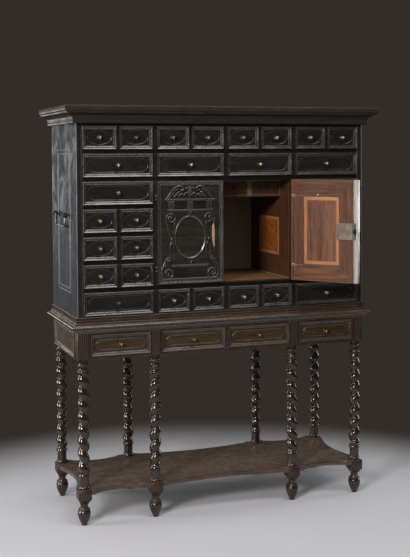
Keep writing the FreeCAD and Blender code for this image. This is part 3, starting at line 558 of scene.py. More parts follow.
def dressNode(name, finish):
    # A CAD node that keeps its shape gets its finish and softened edges
    node = frame["nodes"][name]
    node.data.materials.clear()
    node.data.materials.append(finishes[finish])
    weld = node.modifiers.new("weld", "WELD")
    weld.merge_threshold = 0.01 * mm
    soft = node.modifiers.new("softEdges", "BEVEL")
    soft.width, soft.segments, soft.limit_method = softEdge, 2, "ANGLE"
    soft.angle_limit, soft.harden_normals = math.radians(50), True


# row_boards carry painted shade in their finish
plainNodes = {
    "case_sides": "ebonySide", "case_top": "ebonyCase", "case_bottom": "ebonyCase", "case_back": "oakBack",
    "row_boards": "ebonyGap", "column_boards": "ebonyCase", "stand_frieze": "standMoulding",
    "hinge_pins": "brightWire", "handle_mounts": "iron", "shelf": "shelfWood",
}
for name, finish in plainNodes.items():
    dressNode(name, finish)

# Drawers
drawerLook = lengths(
    knobReach=21.32,              # from the front to the tip of the knob
    frontThickness=14, frameWidth=15, frameHeight=9, ripple=0.3, ripplePitch=4.2,
    lineMargin=2, lineWidth=7, lineHeight=2,
    doubleLineMargin=6, doubleLineWidth=6.5, doubleLineHeight=2.6, padHeight=0.7, cutCorner=14,
    beadWidth=3.6, beadHeight=2,
    sideBoard=8, floorBoard=5, topLip=12, frontEdge=0.6, boardEdge=1.2, floorEdge=0.8) | {
    "lineEnd": 0.30,              # share of the half width that the round ends of a wide line take
    "lineRipple": 0.6, "padReach": 0.9,
    "tails": 3, "tailShares": (0.12, 0.88), "tailFlare": 0.14, "tailLap": 0.25,
    "smallKnobShare": 0.6,
    "metals": {"stand": "standBrass", "niche": "roseBrass"},
}
# Shares of width and height, and of the ripple
frameProfile = (
    (0, 0, 0), (0, 0.72, 0), (0.015, 0.80, 0), (0.05, 0.90, 0), (0.09, 0.97, 0), (0.13, 1, 0),
    (0.17, 0.985, 0), (0.22, 0.935, 0), (0.30, 0.855, 0), (0.38, 0.775, 0), (0.46, 0.69, 0),
    (0.49, 0.65, 0.5), (0.53, 0.66, 1), (0.57, 0.64, 1), (0.60, 0.57, 0.5), (0.63, 0.50, 0),
    (0.66, 0.51, 0), (0.69, 0.56, 0), (0.73, 0.58, 0), (0.78, 0.54, 0), (0.84, 0.48, 0),
    (0.90, 0.415, 0), (0.93, 0.36, 0), (0.95, 0.26, 0), (1, 0.2, 0), (1, 0, 0))
# A short steep slope outside and a long one inside
lineProfile = (
    (0, 0, 0), (0.04, 0.30, 0), (0.12, 0.80, 0), (0.18, 0.97, 0.3), (0.24, 1, 0.6), (0.31, 0.95, 0.4),
    (0.45, 0.66, 0), (0.60, 0.36, 0), (0.74, 0.10, 0), (0.82, 0.03, 0), (1, 0, 0))
doubleLineProfile = (
    (0, 0, 0), (0.06, 0.7, 0), (0.2, 1, 0), (0.34, 0.95, 0), (0.42, 0.5, 0), (0.55, 0.46, 0),
    (0.66, 0.72, 0), (0.8, 0.72, 0), (0.92, 0.4, 0), (1, 0, 0))
smallBeadProfile = ((0, 0, 0), (0, 1, 0), (0.3, 1.3, 0), (0.7, 1.3, 0), (1, 0.8, 0), (1, 0, 0))
# Radius and distance from the front, in millimetres
roseProfile = (
    (10, 0), (10, 0.5), (9.5, 1.1), (8.6, 1.3), (7.9, 1.0), (7.2, 1.1), (6.4, 1.7), (5.2, 1.9), (0, 1.9))
knobProfile = (
    (4.8, 1.5), (4.8, 2.5), (3.8, 2.9), (3.1, 4.0), (3.0, 5.4), (3.9, 7.0), (6.0, 8.8), (7.4, 11.2),
    (7.8, 13.8), (7.4, 16.4), (6.1, 18.7), (4.2, 20.3), (2.4, 21.0), (1.2, 21.3), (0, 21.32))



def scaled(profile, width, height):
    return [(w * width, h * height, part) for w, h, part in profile]


def addPlate(shape, outline, toPoint, low, high, slot=0):
    addRings(shape, [[toPoint(a, z, out) for a, z in outline] for out in (low, high)], slot)


def drawerFront(width, height, kind):
    look, shape, half = drawerLook, newShape(), width / 2
    at = frontFace(0)
    addBoard(shape, (-half, 0, 0), (half, look["frontThickness"], height), look["frontEdge"])
    if kind == "niche":
        profile = scaled(smallBeadProfile, look["beadWidth"], look["beadHeight"])
        addMoulding(shape, polygonPath(rectangle(-half, half, 0, height), 1), profile, at, 0, 1)
        return shape
    pitch = look["ripplePitch"]
    frameEdge = polygonPath(rectangle(-half, half, 0, height), pitch)
    addMoulding(shape, frameEdge, scaled(frameProfile, look["frameWidth"], look["frameHeight"]), at,
                look["ripple"], 1)
    inset = look["frameWidth"] + look["doubleLineMargin" if kind == "stand" else "lineMargin"]
    a, z = half - inset, height / 2 - inset
    if kind == "stand":
        wide = look["doubleLineWidth"]
        path = polygonPath(cutRectangle(-a, a, inset, height - inset, look["cutCorner"]), pitch * 4)
        addMoulding(shape, path, scaled(doubleLineProfile, wide, look["doubleLineHeight"]), at, 0, 1)
        reach = wide * look["padReach"]
        pad = [(a + ia * reach, z + iz * reach) for a, z, ia, iz, phase in path]
        addPlate(shape, pad, at, 0, look["padHeight"], 2)
    else:
        end = a if kind == "small" else a * look["lineEnd"]
        path = roundPath(0, height / 2, a, z, end, pitch)
        addMoulding(shape, path, scaled(lineProfile, look["lineWidth"], look["lineHeight"]), at,
                    look["ripple"] * look["lineRipple"], 0)
    return shape


def drawerKnob(share, spread):
    # The turned knob, on a small rose of its own
    shape = newShape()
    for slot, profile in enumerate((knobProfile, roseProfile)):
        across = share * (1 if slot else spread) * mm
        addLathe(shape, [(r * across, out * share * mm) for r, out in profile],
                 lambda x, z, out: Vector((x, -out, z)), 24, slot)
    return shape


def drawerBox(width, height, depth):
    # Sides, back and floor, with the tails of the joints showing at the ends of the front
    look, shape, half = drawerLook, newShape(), width / 2
    front, top = look["frontThickness"], height - look["topLip"]
    floor, side = look["floorBoard"], look["sideBoard"]
    for way in (-1, 1):
        x0, x1 = sorted((way * half, way * (half - side)))
        addBoard(shape, (x0, front, floor), (x1, depth, top), look["boardEdge"])
        for k in range(look["tails"]):
            low, high = (floor + (top - floor) * (k + share) / look["tails"]
                         for share in look["tailShares"])
            flare, lap = (high - low) * look["tailFlare"], front * look["tailLap"]
            tail = [(front, low + flare), (lap, low), (lap, high), (front, high - flare)]
            addPlate(shape, tail, sideFace(way * half, way), -0.2 * mm, 0.1 * mm)
    addBoard(shape, (side - half, depth - side, floor), (half - side, depth, top), look["boardEdge"])
    addBoard(shape, (-half, front, 0), (half, depth, floor), look["floorEdge"])
    return shape


# What shows on single drawers: a smaller, a flatter or a dark knob
oddKnobs = {"row1_drawer2": (0.82, 1.0, "steel"), "row3_drawer1": (0.9, 1.2, "brass"),
            "row7_drawer1": (1.0, 1.0, "iron")}
meshes = {}


def keptMesh(key, build, looks, sharp=32):
    if key not in meshes:
        meshes[key] = makeMesh("kept", build(), looks, sharp)
    return meshes[key]


def placedMesh(mesh, name, offset):
    moved = mesh.copy()
    moved.name = name
    moved.transform(Matrix.Translation(offset))
    return moved


for name in sorted(frame["nodes"]):
    if "_drawer" not in name:
        continue
    low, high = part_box(name)
    width, height = high.x - low.x, high.z - low.z
    kind = "small" if width < 0.2 else "wide"
    fronts, slotName = ("ebonyField", "ebonyMoulding"), "ebonised_wood"
    metal = drawerLook["metals"].get(name.split("_")[0], "brass")
    knobShare, knobSpread, metal = oddKnobs.get(name, (1.0, 1.0, metal))
    if name.startswith("stand"):
        kind, fronts, slotName = "stand", ("standMoulding", "standMoulding", "standField"), "stand_wood"
    if name.startswith("niche"):
        kind, fronts, slotName = "niche", ("drawerBurl", "nicheBead"), "niche_veneer"
        knobShare = drawerLook["smallKnobShare"]
    reach = drawerLook["knobReach"] * (drawerLook["smallKnobShare"] if kind == "niche" else 1)
    face = low.y + reach
    spot = Vector(((low.x + high.x) / 2, face, low.z))
    size = (round(width, 5), round(height, 5))
    front = keptMesh((kind, size), lambda: drawerFront(width, height, kind), fronts)
    knob = keptMesh(("knob", knobShare, knobSpread, metal), lambda: drawerKnob(knobShare, knobSpread),
                    [metal, "roseBrass"], 50)
    inner = keptMesh((kind, size, "box"), lambda: drawerBox(width, height, high.y - face), ["oak"])
    middle = spot + Vector((0, 0, height / 2))
    for part, mesh, offset, slot in (
            ("front", front, spot, slotName), ("knob", knob, middle, None),
            ("box", inner, spot, "oak_back")):
        piece = name + "_" + part
        putPiece(piece, placedMesh(mesh, piece, offset), name, part == "front")
for mesh in meshes.values():
    bpy.data.meshes.remove(mesh)
print("drawers dressed")


# Mouldings that run round the front and both sides
def smoothRun(points, steps=5):
    # A curve through the points, which are (out, up)
    made = []
    for k in range(len(points) - 1):
        p0, p1 = points[max(k - 1, 0)], points[k]
        p2, p3 = points[k + 1], points[min(k + 2, len(points) - 1)]
        for j in range(steps):
            t = j / steps
            made.append(tuple(
                0.5 * (2 * b + (c - a) * t + (2 * a - 5 * b + 4 * c - d) * t * t
                       + (3 * b - a - 3 * c + d) * t * t * t)
                for a, b, c, d in zip(p0, p1, p2, p3)))
    return made + [points[-1]]


def wrapMoulding(shape, halfWidth, front, low, high, profile):
    # From the back round the front to the back again; low and high are the CAD node's box
    reach, height = high.x - halfWidth, high.z - low.z
    spots = [(out * reach, low.z + up * height) for out, up in profile]
    addRings(shape, [
        [(way * (halfWidth + out), y - turned * out, up) for out, up in spots]
        for way, y, turned in ((-1, backY, 0), (-1, front, 1), (1, front, 1), (1, backY, 0))])


corniceProfile = (
    [(0, 0), (0.30, 0), (0.325, 0.012), (0.34, 0.04), (0.34, 0.15), (0.33, 0.17), (0.30, 0.175)]
    + smoothRun([(0.30, 0.19), (0.315, 0.215), (0.345, 0.225), (0.355, 0.25)], 3)
    + smoothRun([(0.345, 0.27), (0.37, 0.34), (0.44, 0.42), (0.56, 0.49), (0.72, 0.545), (0.84, 0.565)])
    + [(0.84, 0.60), (0.885, 0.60)]
    + smoothRun([(0.89, 0.645), (0.915, 0.675), (0.96, 0.69), (0.99, 0.725), (1, 0.76)], 3)
    + [(1, 0.93), (0.99, 0.975), (0.95, 1), (0, 1)])
plinthProfile = (
    [(0, 0), (0.96, 0), (1, 0.03), (1, 0.09), (0.97, 0.13), (0.90, 0.16), (0.64, 0.18)]
    + smoothRun([(0.60, 0.19), (0.56, 0.24), (0.53, 0.34), (0.51, 0.46)])
    + [(0.51, 0.48), (0.54, 0.49), (0.54, 0.53), (0.47, 0.54)]
    + smoothRun([(0.45, 0.60), (0.44, 0.70), (0.44, 0.84)])
    + [(0.50, 0.86), (0.52, 0.89), (0.50, 0.93), (0.44, 0.97), (0.36, 1), (0, 1)])
# The nose is low on the board, its upper slope broad enough to catch the light
noseProfile = (
    [(0, 0), (0.13, 0), (0.15, 0.04), (0.15, 0.09)]
    + smoothRun([(0.15, 0.12), (0.18, 0.20), (0.26, 0.245)], 3)
    + [(0.38, 0.25), (0.40, 0.28)]
    + smoothRun([(0.41, 0.32), (0.46, 0.40), (0.56, 0.48), (0.68, 0.535)])
    + [(0.70, 0.565), (0.86, 0.57), (0.93, 0.585)]
    + smoothRun([(0.96, 0.60), (0.995, 0.64), (1, 0.68), (0.975, 0.735), (0.92, 0.79), (0.85, 0.835),
                 (0.78, 0.858)])
    + [(0.47, 0.865), (0.455, 0.88), (0.455, 1), (0, 1)])
corniceLow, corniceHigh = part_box("cornice")
plinthLow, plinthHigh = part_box("base_plinth")
topLow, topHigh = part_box("stand_top")
mouldingLook = lengths(lid=12, lidEdge=0.5, backBoard=12, topBoard=20.4, standProud=3)


def dressMouldings():
    look, shape = mouldingLook, newShape()
    top, under = corniceHigh.z, corniceHigh.z - mouldingLook["lid"]
    wrapMoulding(shape, caseHalf, frontY, corniceLow, corniceHigh, corniceProfile)
    addBoard(shape, (-caseHalf, frontY, under), (caseHalf, backY, top), look["lidEdge"])
    addBoard(shape, (-caseHalf, backY - look["backBoard"], caseHigh.z), (caseHalf, backY, under))
    putPiece("cornice_mouldings", makeMesh("cornice", shape, ["ebonyCornice"]), "cornice")
    shape = newShape()
    wrapMoulding(shape, caseHalf, frontY, plinthLow, plinthHigh, plinthProfile)
    putPiece("plinth_moulding", makeMesh("plinth", shape, ["plinthWood"]), "base_plinth")
    shape, front = newShape(), frontY - look["standProud"]
    addBoard(shape, (-standHalf, front, topHigh.z - look["topBoard"]), (standHalf, backY, topHigh.z))
    wrapMoulding(shape, standHalf, front, topLow, topHigh, noseProfile)
    putPiece("stand_top_mouldings", makeMesh("standTop", shape, ["noseWood"]), "stand_top")


dressMouldings()
print("mouldings made")

# Legs: turned and twisted, square heads with reeds
legLook = lengths(
    block=54, blockLow=92, blockHigh=150, taper=10.5, taperHeight=18,
    twistLow=214.5, twistHigh=627.6, valley=15.2, swell=9.6,
    cornerHead=54, innerHead=45, headDepth=48, headEdge=1, upright=16,
    reedProud=0.7, reedMargin=5, reedTip=3, tipProud=0.2, reedsUp=6, reedsDown=16) | {
    "turns": 8, "stepsPerTurn": 32, "segments": 36, "breadth": 0.62, "crestTurn": 200, "reeds": 5,
    # How the twist rises out of the plain round at its two ends
    "plainLobe": 0.45, "riseRate": 3.2, "riseFrom": 0.05,
    # Height of one crest at the left of each leg, in millimetres
    "crests": {"front": (399, 398, 406, 414), "back": (405, 432, 398, 425)},
}
footProfile = (
    [(0, 0), (9.6, 0), (11, 0.8), (11.2, 3)]
    + smoothRun([(12, 6), (16.4, 14), (21.8, 26), (25.6, 38), (27, 50), (26, 57), (23.2, 62.6)])
    + [(22.2, 63.6), (21.9, 64.6)]
    + smoothRun([(22.8, 65), (24.6, 67.2), (23.6, 69.4), (20, 70.6)], 4)
    + smoothRun([(18, 71.4), (16.4, 75), (16.1, 82), (16.5, 88), (17.4, 92)], 4) + [(0, 92)])
lowerDrumProfile = (
    [(0, 150), (20, 150), (21, 151)]
    + smoothRun([(22.6, 151.6), (24.5, 154.8), (24.5, 157.6), (22.8, 161)], 4)
    + [(21.2, 162), (20.8, 163.2)]
    + smoothRun([(20.4, 165), (20, 173), (19.9, 183), (20.1, 193), (20.5, 199)], 4)
    + [(20.9, 200.4), (21.3, 201.5)]
    + smoothRun([(22.6, 202.2), (24.5, 205.8), (24.5, 209), (22.8, 213)], 4) + [(17, 215), (0, 215)])
upperDrumProfile = (
    [(0, 627), (17, 627), (20, 628)]
    + smoothRun([(23.0, 629), (24.5, 632.6), (24.5, 636.6), (22.8, 640)], 4)
    + [(20.2, 641), (19.4, 642.2)]
    + smoothRun([(18.2, 644), (17.4, 650), (17.8, 655), (19, 657)], 4)
    + [(21.8, 658.6), (23.6, 660), (24.1, 662.2), (23.4, 664.4), (21.4, 665.6)]
    + smoothRun([(19.9, 666.4), (19.2, 671), (19.4, 678), (20, 683)], 3) + [(20, 684.6), (0, 684.6)])


def addTwist(shape, hand, crest, slot):
    # One strand winds up the leg: broad rounded lobes with a narrow valley between them
    look, rings = legLook, []
    count = look["turns"] * look["stepsPerTurn"]
    tall = look["twistHigh"] - look["twistLow"]
    winding = hand * 2 * math.pi * look["turns"]
    phase = math.radians(look["crestTurn"]) - winding * (crest - look["twistLow"]) / tall
    for k in range(count + 1):
        share = k / count
        fade = min(1, min(share, 1 - share) * look["turns"] * look["riseRate"] + look["riseFrom"])
        fade = fade * fade * (3 - 2 * fade)
        turn = winding * share + phase
        ring = []
        for angle in circle(look["segments"]):
            lobe = (0.5 + 0.5 * math.cos(angle - turn)) ** look["breadth"]
            out = look["valley"] + look["swell"] * (look["plainLobe"] + (lobe - look["plainLobe"]) * fade)
            ring.append((out * math.cos(angle), out * math.sin(angle), look["twistLow"] + tall * share))
        rings.append(ring)
    addRings(shape, rings, slot)


def addReeds(shape, toPoint, a0, a1, z0, z1, slot):
    look = legLook
    a0, a1 = a0 + look["reedMargin"], a1 - look["reedMargin"]
    wide = (a1 - a0) / look["reeds"]
    widths = [wide * share for share in (0.3, 0.86, 0.86, 0.86, 0.3)]
    heights = [look["tipProud"]] + [look["reedProud"]] * 3 + [look["tipProud"]]
    for k in range(look["reeds"]):
        a = a0 + (k + 0.5) * wide
        spots = [(a, z) for z in (z0, z0 + look["reedTip"], (z0 + z1) / 2, z1 - look["reedTip"], z1)]
        addRib(shape, spots, widths, heights, toPoint, slot, 6)


def addBlock(shape, slot):
    # The square block, drawn in below to the neck of the foot
    look, rings = legLook, []
    side, taper, low, high = look["block"] / 2, look["taper"], look["blockLow"], look["blockHigh"]
    straight = low + look["taperHeight"]
    # Half width, corner and height of each outline
    outlines = (
        (side - taper, 5 * mm, low), (side - taper * 0.8, 4 * mm, low + 2.6 * mm),
        (side - 1.2 * mm, 1.4 * mm, straight - 1.4 * mm), (side, 1.2 * mm, straight + 1 * mm),
        (side, 1.2 * mm, high - 2 * mm), (side - 0.7 * mm, 1.4 * mm, high - 0.6 * mm),
        (side - 2 * mm, 2 * mm, high))
    for reach, soft, up in outlines:
        near = reach - soft
        rings.append([(x, y, up) for x, y in (
            (-near, -reach), (near, -reach), (reach, -near), (reach, near),
            (near, reach), (-near, reach), (-reach, near), (-reach, -near))])
    addRings(shape, rings, slot)


def legShape(head, hand, crest, faces):
    look, shape = legLook, newShape()
    half, deep = head / 2, look["headDepth"] / 2
    for profile in (footProfile, lowerDrumProfile, upperDrumProfile):
        addLathe(shape, [(r * mm, z * mm) for r, z in profile], lambda x, y, z: Vector((x, y, z)), 32)
    addBlock(shape, 1)
    addTwist(shape, hand, crest, 0)
    low, high = friezeLow.z, friezeHigh.z
    addBoard(shape, (-half, -deep, low), (half, deep, high), look["headEdge"], 1)
    low, high = low + look["reedsUp"], high - look["reedsDown"]
    for face in faces:
        if face == "front":
            addReeds(shape, frontFace(-deep), -half, half, low, high, 1)
        else:
            addReeds(shape, sideFace(face * half, face), -deep, deep, low, high, 1)
    return shape


def dressLegs():
    look = legLook
    outer = standHalf - look["cornerHead"] / 2
    inner = (liningHigh.x - liningLow.x - look["upright"]) / 2 + look["upright"]
    columns = ((-outer, look["cornerHead"], (-1,)), (-inner, look["innerHead"], ()),
               (inner, look["innerHead"], ()), (outer, look["cornerHead"], (1,)))
    deep = look["headDepth"] / 2
    rows = (("front", friezeLow.y + deep), ("back", friezeHigh.y - deep))
    for row, y in rows:
        for number, (x, head, sides) in enumerate(columns):
            hand = -1 if (number % 2 == 0 if row == "front" else number < 2) else 1
            faces = (("front",) if row == "front" else ()) + sides
            shape = legShape(head, hand, look["crests"][row][number] * mm, faces)
            mesh = makeMesh("leg", shape, ["legWood", "blockWood"], 40)
            mesh.transform(Matrix.Translation((x, y, 0)))
            putPiece("twist_leg_%s_%d" % (row, number + 1), mesh, "twist_legs")


dressLegs()
print("legs made")

# Doors: board, frame mouldings and relief outside, banded veneer inside
doorLook = lengths(
    board=20, edge=0.6, foot=1.3, meeting=10, gap=0.3, hingeGap=0.6, lipWidth=22, lipThickness=14,
    frameMargin=2.5, frameWidth=17, frameHeight=8.5,
    rightFrameHeight=6.4,         # lower, so the drawers beside the open door clear it
    axisOut=4.5, axisSide=3, knuckleRadius=3.6, knuckleBore=2.1, knuckleLength=12,
    lugReach=10.6, lugHeight=8, lugHalf=1.4, lugFoot=3, lugEdge=0.5, hingeInset=68,
    bandWidth=65, bandFoot=74, stringing=13.5, veneer=0.15, sunk=0.3, joint=0.12)
openAngle = 127
# Straps of the relief: breadth and height in millimetres
scrollLook = {"strap": (9.0, 7.0), "thin": (4.2, 4.8), "towardHinge": 3.0}


def addLedge(shape, toPoint, a0, a1, profile, slot=0):
    # A short moulding along a line, returned to the face at both ends; profile is (up, proud)
    addRings(shape, [
        [toPoint(a0 - p, z, 0) for z, p in profile], [toPoint(a0 - p, z, p) for z, p in profile],
        [toPoint(a1 + p, z, p) for z, p in profile], [toPoint(a1 + p, z, 0) for z, p in profile]], slot)


def stepped(z0, z1, proud):
    # A ledge profile: fillet, quarter round, flat top
    up = z1 - z0
    return [(z0, 0), (z0, proud * 0.45), (z0 + up * 0.2, proud * 0.5), (z0 + up * 0.28, proud * 0.72),
            (z0 + up * 0.45, proud * 0.92), (z0 + up * 0.62, proud), (z0 + up * 0.8, proud * 0.94),
            (z0 + up * 0.84, proud * 0.66), (z1, proud * 0.6), (z1, 0)]


def addDome(shape, toPoint, a, z, radius, proud, slot=0):
    rise = [math.pi / 2 * k / 6 for k in range(7)]
    addLathe(shape, [(radius * math.cos(t), proud * math.sin(t)) for t in rise],
             lambda u, v, out: toPoint(a + u, z + v, out), 16, slot)


def spiral(a, z, outer, inner, start, turns, way):
    # Points from the outside in; way 1 turns against the clock
    steps, points = int(14 * turns), []
    for k in range(steps + 1):
        reach = outer + (inner - outer) * k / steps
        turn = start + way * 2 * math.pi * turns * k / steps
        points.append((a + reach * math.cos(turn), z + reach * math.sin(turn)))
    return points


def addStrap(shape, toPoint, points, wide, proud, ends=(0.35, 0.5)):
    # A rounded strap along a curve; ends are its shares at the two tips, which take a fifth each
    line = smoothRun(points, 4)
    count = len(line) - 1
    swell = []
    for k in range(count + 1):
        t = k / count
        near, far = min(1, t * 5), min(1, (1 - t) * 5)
        swell.append((ends[0] + (1 - ends[0]) * near) * (ends[1] + (1 - ends[1]) * far))
    addRib(shape, line, [wide * s for s in swell], [proud * s for s in swell], toPoint)


def ovalPath(a, z, across, up):
    stations = []
    for t in circle(72):
        out = Vector((math.cos(t) * up, math.sin(t) * across)).normalized()
        stations.append((a + across * math.cos(t), z + up * math.sin(t), -out.x, -out.y, 0))
    return stations


# The relief's right half, in millimetres from the middle of the door; the left half mirrors it.
# Kind, points, shares of breadth and height, shares at the two ends; a dome has its radius instead
reliefHalf = (
    # Raking scroll over the cornice, with its leaf
    ("strap", [(108, 141), (97, 152), (82, 171), (66, 186), (50, 193.5), (37, 193), (30, 187), (31, 179),
               (38, 176), (43, 180)], 1.15, 1.3),
    ("thin", [(101, 141), (90, 150), (76, 165), (62, 178), (49, 184)], 1, 1.5),
    ("strap", [(74, 146), (66, 154), (56, 163), (46, 172)], 1.3, 1.1, (0.15, 0.5)),
    ("strap", [(52, 146), (47, 155), (38, 160), (29, 158)], 1, 1, (0.3, 0.4)),
    ("strap", [(24, 147), (26, 156), (20, 164), (12, 168)], 1, 1, (0.3, 0.3)),
    # Upper volute and its console down to a knot
    ("strap", spiral(84, 60, 23, 8, 0, 1.35, 1), 0.85, 1),
    ("dome", (84, 60), 5.5, 1.2),
    ("console", [(107, 60), (105.5, 45), (101, 30), (95, 8), (90, -10), (85, -26)], 0.9, 0.9, (0.9, 0.5)),
    ("thin", [(70, 46), (70, 24), (73, 2), (79, -24)], 1, 1),
    ("dome", (81.5, -27), 6.5, 1.15),
    ("thin", [(81.5, -33), (88, -52), (90, -76), (86, -96), (84, -108)], 1.2, 0.9),
    ("thin", [(77, -33), (73, -58), (70, -80), (72, -108)], 1, 0.8),
    # Lower C scroll: a small volute above a large one
    ("strap", spiral(97, -113, 10, 4, 0, 1.2, 1), 0.7, 0.9),
    ("dome", (97, -113), 3.4, 1),
    ("strap", [(107, -113), (113, -124), (120, -140), (124, -156), (123, -170)], 1, 1, (0.7, 0.95)),
    ("thin", [(100, -126), (108, -134), (112, -146), (110, -156)], 1, 1),
    ("strap", spiral(98, -171, 26, 8, 0, 1.45, -1), 0.9, 1, (0.95, 0.5)),
    ("dome", (98, -171), 6, 1.15),
    # The crest
    ("strap", [(3, 172), (5, 181), (11, 188), (17, 187), (18.5, 181), (14, 178)], 0.8, 1),
    ("strap", [(2, 152), (9, 160), (9, 168), (3, 175)], 0.8, 0.9),
)
reliefMiddle = (
    ("strap", [(0, 146), (0, 158), (0, 172), (0, 186), (0, 197)], 1.1, 1.2, (0.8, 0.2)),
    ("thin", [(-9, -112), (-5, -122), (0, -131), (5, -122), (9, -112)], 1.2, 1.2, (0.6, 0.6)),
)
# Half length, lower and upper edge, height and slot of the ledges across the middle
reliefLedges = (
    (104, 131.5, 142, 9, 0), (95, 89, 97, 7, 0), (76, -145, -134, 7, 0), (71, -188, -149, 2.2, 1),
    (118, -202, -190, 8.5, 0))
# Low panel, bracket and oval: left, right, bottom, top and height, or middle and half sizes
reliefPanel = (8.5, 75.5, 97.5, 131, 0.9)
reliefBracket = (-6.5, 6.5, 69, 89, 7.5)
reliefOval = (0, -20, 71, 92)
brokenEnd = (103, 37)
pilasterProfile = ((98, 0), (98, 5), (101, 6.5), (128, 6.5), (131, 5), (131, 0))
ovalProfile = ((0, 0, 0), (0.4, 2.8, 0), (1.4, 4.6, 0), (2.8, 5.4, 0), (4.2, 4.9, 0), (5.6, 3.6, 0),
               (6.8, 2.6, 0), (8.0, 2.2, 0), (9.0, 0.8, 0), (9.0, 0, 0))


def addScrolls(shape, toPoint, rows, broken=False):
    for kind, points, share, rise, *ends in rows:
        if kind == "dome":
            addDome(shape, toPoint, *points, share, scrollLook["strap"][1] * rise)
            continue
        if kind == "console":
            kind, points = "strap", points[:2] + [brokenEnd] if broken else points
        wide, proud = scrollLook[kind]
        addStrap(shape, toPoint, points, wide * share, proud * rise, *ends)


def addRelief(shape, toPoint, broken):
    # Broken means that the right console has lost its lower part, as on the shut door
    for way, pilasters in ((-1, ((79, 89),)), (1, ((79, 89), (-5, 5)))):
        at = lambda a, z, out: toPoint(way * a, z, out)
        addScrolls(shape, at, reliefHalf, broken and way > 0)
        for a0, a1 in pilasters:
            addLedge(shape, at, a0, a1, pilasterProfile)
        addBoardOn(shape, at, *reliefPanel, 1)
    addScrolls(shape, toPoint, reliefMiddle)
    for half, z0, z1, proud, slot in reliefLedges:
        addLedge(shape, toPoint, -half, half, stepped(z0, z1, proud), slot)
    addBoardOn(shape, toPoint, *reliefBracket)
    addMoulding(shape, ovalPath(*reliefOval), ovalProfile, toPoint)


def addBoardOn(shape, toPoint, a0, a1, z0, z1, proud, slot=0):
    inset = min(1.0, proud / 3)
    addRings(shape, [
        [toPoint(a, z, 0) for a, z in rectangle(a0, a1, z0, z1)],
        [toPoint(a, z, proud - inset) for a, z in rectangle(a0, a1, z0, z1)],
        [toPoint(a, z, proud) for a, z in rectangle(a0 + inset, a1 - inset, z0 + inset, z1 - inset)]], slot)


def addMitredBand(shape, toPoint, a0, a1, z0, z1, wide, proud, slots, foot=None):
    # Four strips of veneer round a rectangle; slots are (upright, level)
    foot = foot or wide
    gap = doorLook["joint"] / 2
    strips = (
        ([(a0, z0), (a1, z0), (a1 - wide, z0 + foot), (a0 + wide, z0 + foot)], slots[1]),
        ([(a1, z0), (a1, z1), (a1 - wide, z1 - foot), (a1 - wide, z0 + foot)], slots[0]),
        ([(a1, z1), (a0, z1), (a0 + wide, z1 - foot), (a1 - wide, z1 - foot)], slots[1]),
        ([(a0, z1), (a0, z0), (a0 + wide, z0 + foot), (a0 + wide, z1 - foot)], slots[0]))
    for outline, slot in strips:
        middle = Vector((sum(p[0] for p in outline) / 4, sum(p[1] for p in outline) / 4))
        shrunk = [Vector(p) + (middle - Vector(p)).normalized() * gap for p in outline]
        addPlate(shape, [(p.x, p.y) for p in shrunk], toPoint, -doorLook["sunk"], proud, slot)


def doorPlaces(way):
    # Hinge edge, meeting edge, bottom and top of a shut door
    look = doorLook
    hinge, meeting = way * (liningHigh.x - look["hingeGap"]), -look["meeting"] + way * look["gap"]
    return hinge, meeting, liningLow.z + look["foot"], liningHigh.z - look["foot"]


def doorShell(way):
    look, shape = doorLook, newShape()
    hinge, meeting, z0, z1 = doorPlaces(way)
    back = frontY + look["board"]
    lip = meeting + way * look["lipWidth"] if way > 0 else meeting
    near, far = sorted((hinge, lip))
    addBoard(shape, (near, frontY, z0), (far, back, z1), look["edge"], 0, {"+y": 1})
    if way > 0:
        addBoard(shape, (meeting, frontY, z0), (lip + look["edge"] * 2, frontY + look["lipThickness"], z1),
                 look["edge"], 0, {"+y": 2})
    axisX, axisY = way * (liningHigh.x + look["axisSide"]), frontY - look["axisOut"]
    half, lug = look["knuckleLength"] / 2, look["lugHeight"] / 2
    bore, radius = look["knuckleBore"], look["knuckleRadius"]
    tube = ((bore, -half), (radius * 0.9, -half), (radius, -half * 0.85), (radius, half * 0.85),
            (radius * 0.9, half), (bore, half))
    for z in (z0 + look["hingeInset"], z1 - look["hingeInset"]):
        rings = [[(axisX + r * math.cos(t), axisY + r * math.sin(t), z + up) for t in circle(20)]
                 for r, up in tube]
        addRings(shape, rings, 3, looped=True)
        near, far = sorted((axisX - way * radius * 0.8, axisX - way * look["lugReach"]))
        addBoard(shape, (near, axisY - look["lugHalf"], z - lug), (far, axisY + look["lugHalf"], z + lug),
                 look["lugEdge"], 3)
        near, far = sorted((axisX - way * (look["lugReach"] - look["lugFoot"]),
                            axisX - way * look["lugReach"]))
        addBoard(shape, (near, axisY, z - lug), (far, frontY + look["lugEdge"], z + lug),
                 look["lugEdge"], 3)
    return shape


def doorFrames(way):
    look, shape = doorLook, newShape()
    hinge, meeting, z0, z1 = doorPlaces(way)
    at, m = frontFace(frontY), look["frameMargin"]
    high = look["frameHeight"] if way < 0 else look["rightFrameHeight"]
    a0, a1 = sorted((hinge - way * m, meeting + way * m))
    addMoulding(shape, polygonPath(rectangle(a0, a1, z0 + m, z1 - m), drawerLook["ripplePitch"]),
                scaled(frameProfile, look["frameWidth"], high), at, drawerLook["ripple"])
    middleX, middleZ = (a0 + a1) / 2 + way * scrollLook["towardHinge"] * mm, (z0 + z1) / 2
    at = lambda a, z, out: Vector((middleX + a * mm, frontY - out * mm, middleZ + z * mm))
    addRelief(shape, at, way < 0)
    return shape


# Height, place and half width of the bare patch, in millimetres from the middle of the door
chipRows = ((36, 102.5, 1.2), (26, 101, 4.5), (8, 100.5, 6.2), (-14, 101, 6.6), (-36, 102, 5.4),
            (-54, 103, 3.4), (-66, 103.5, 1.0))


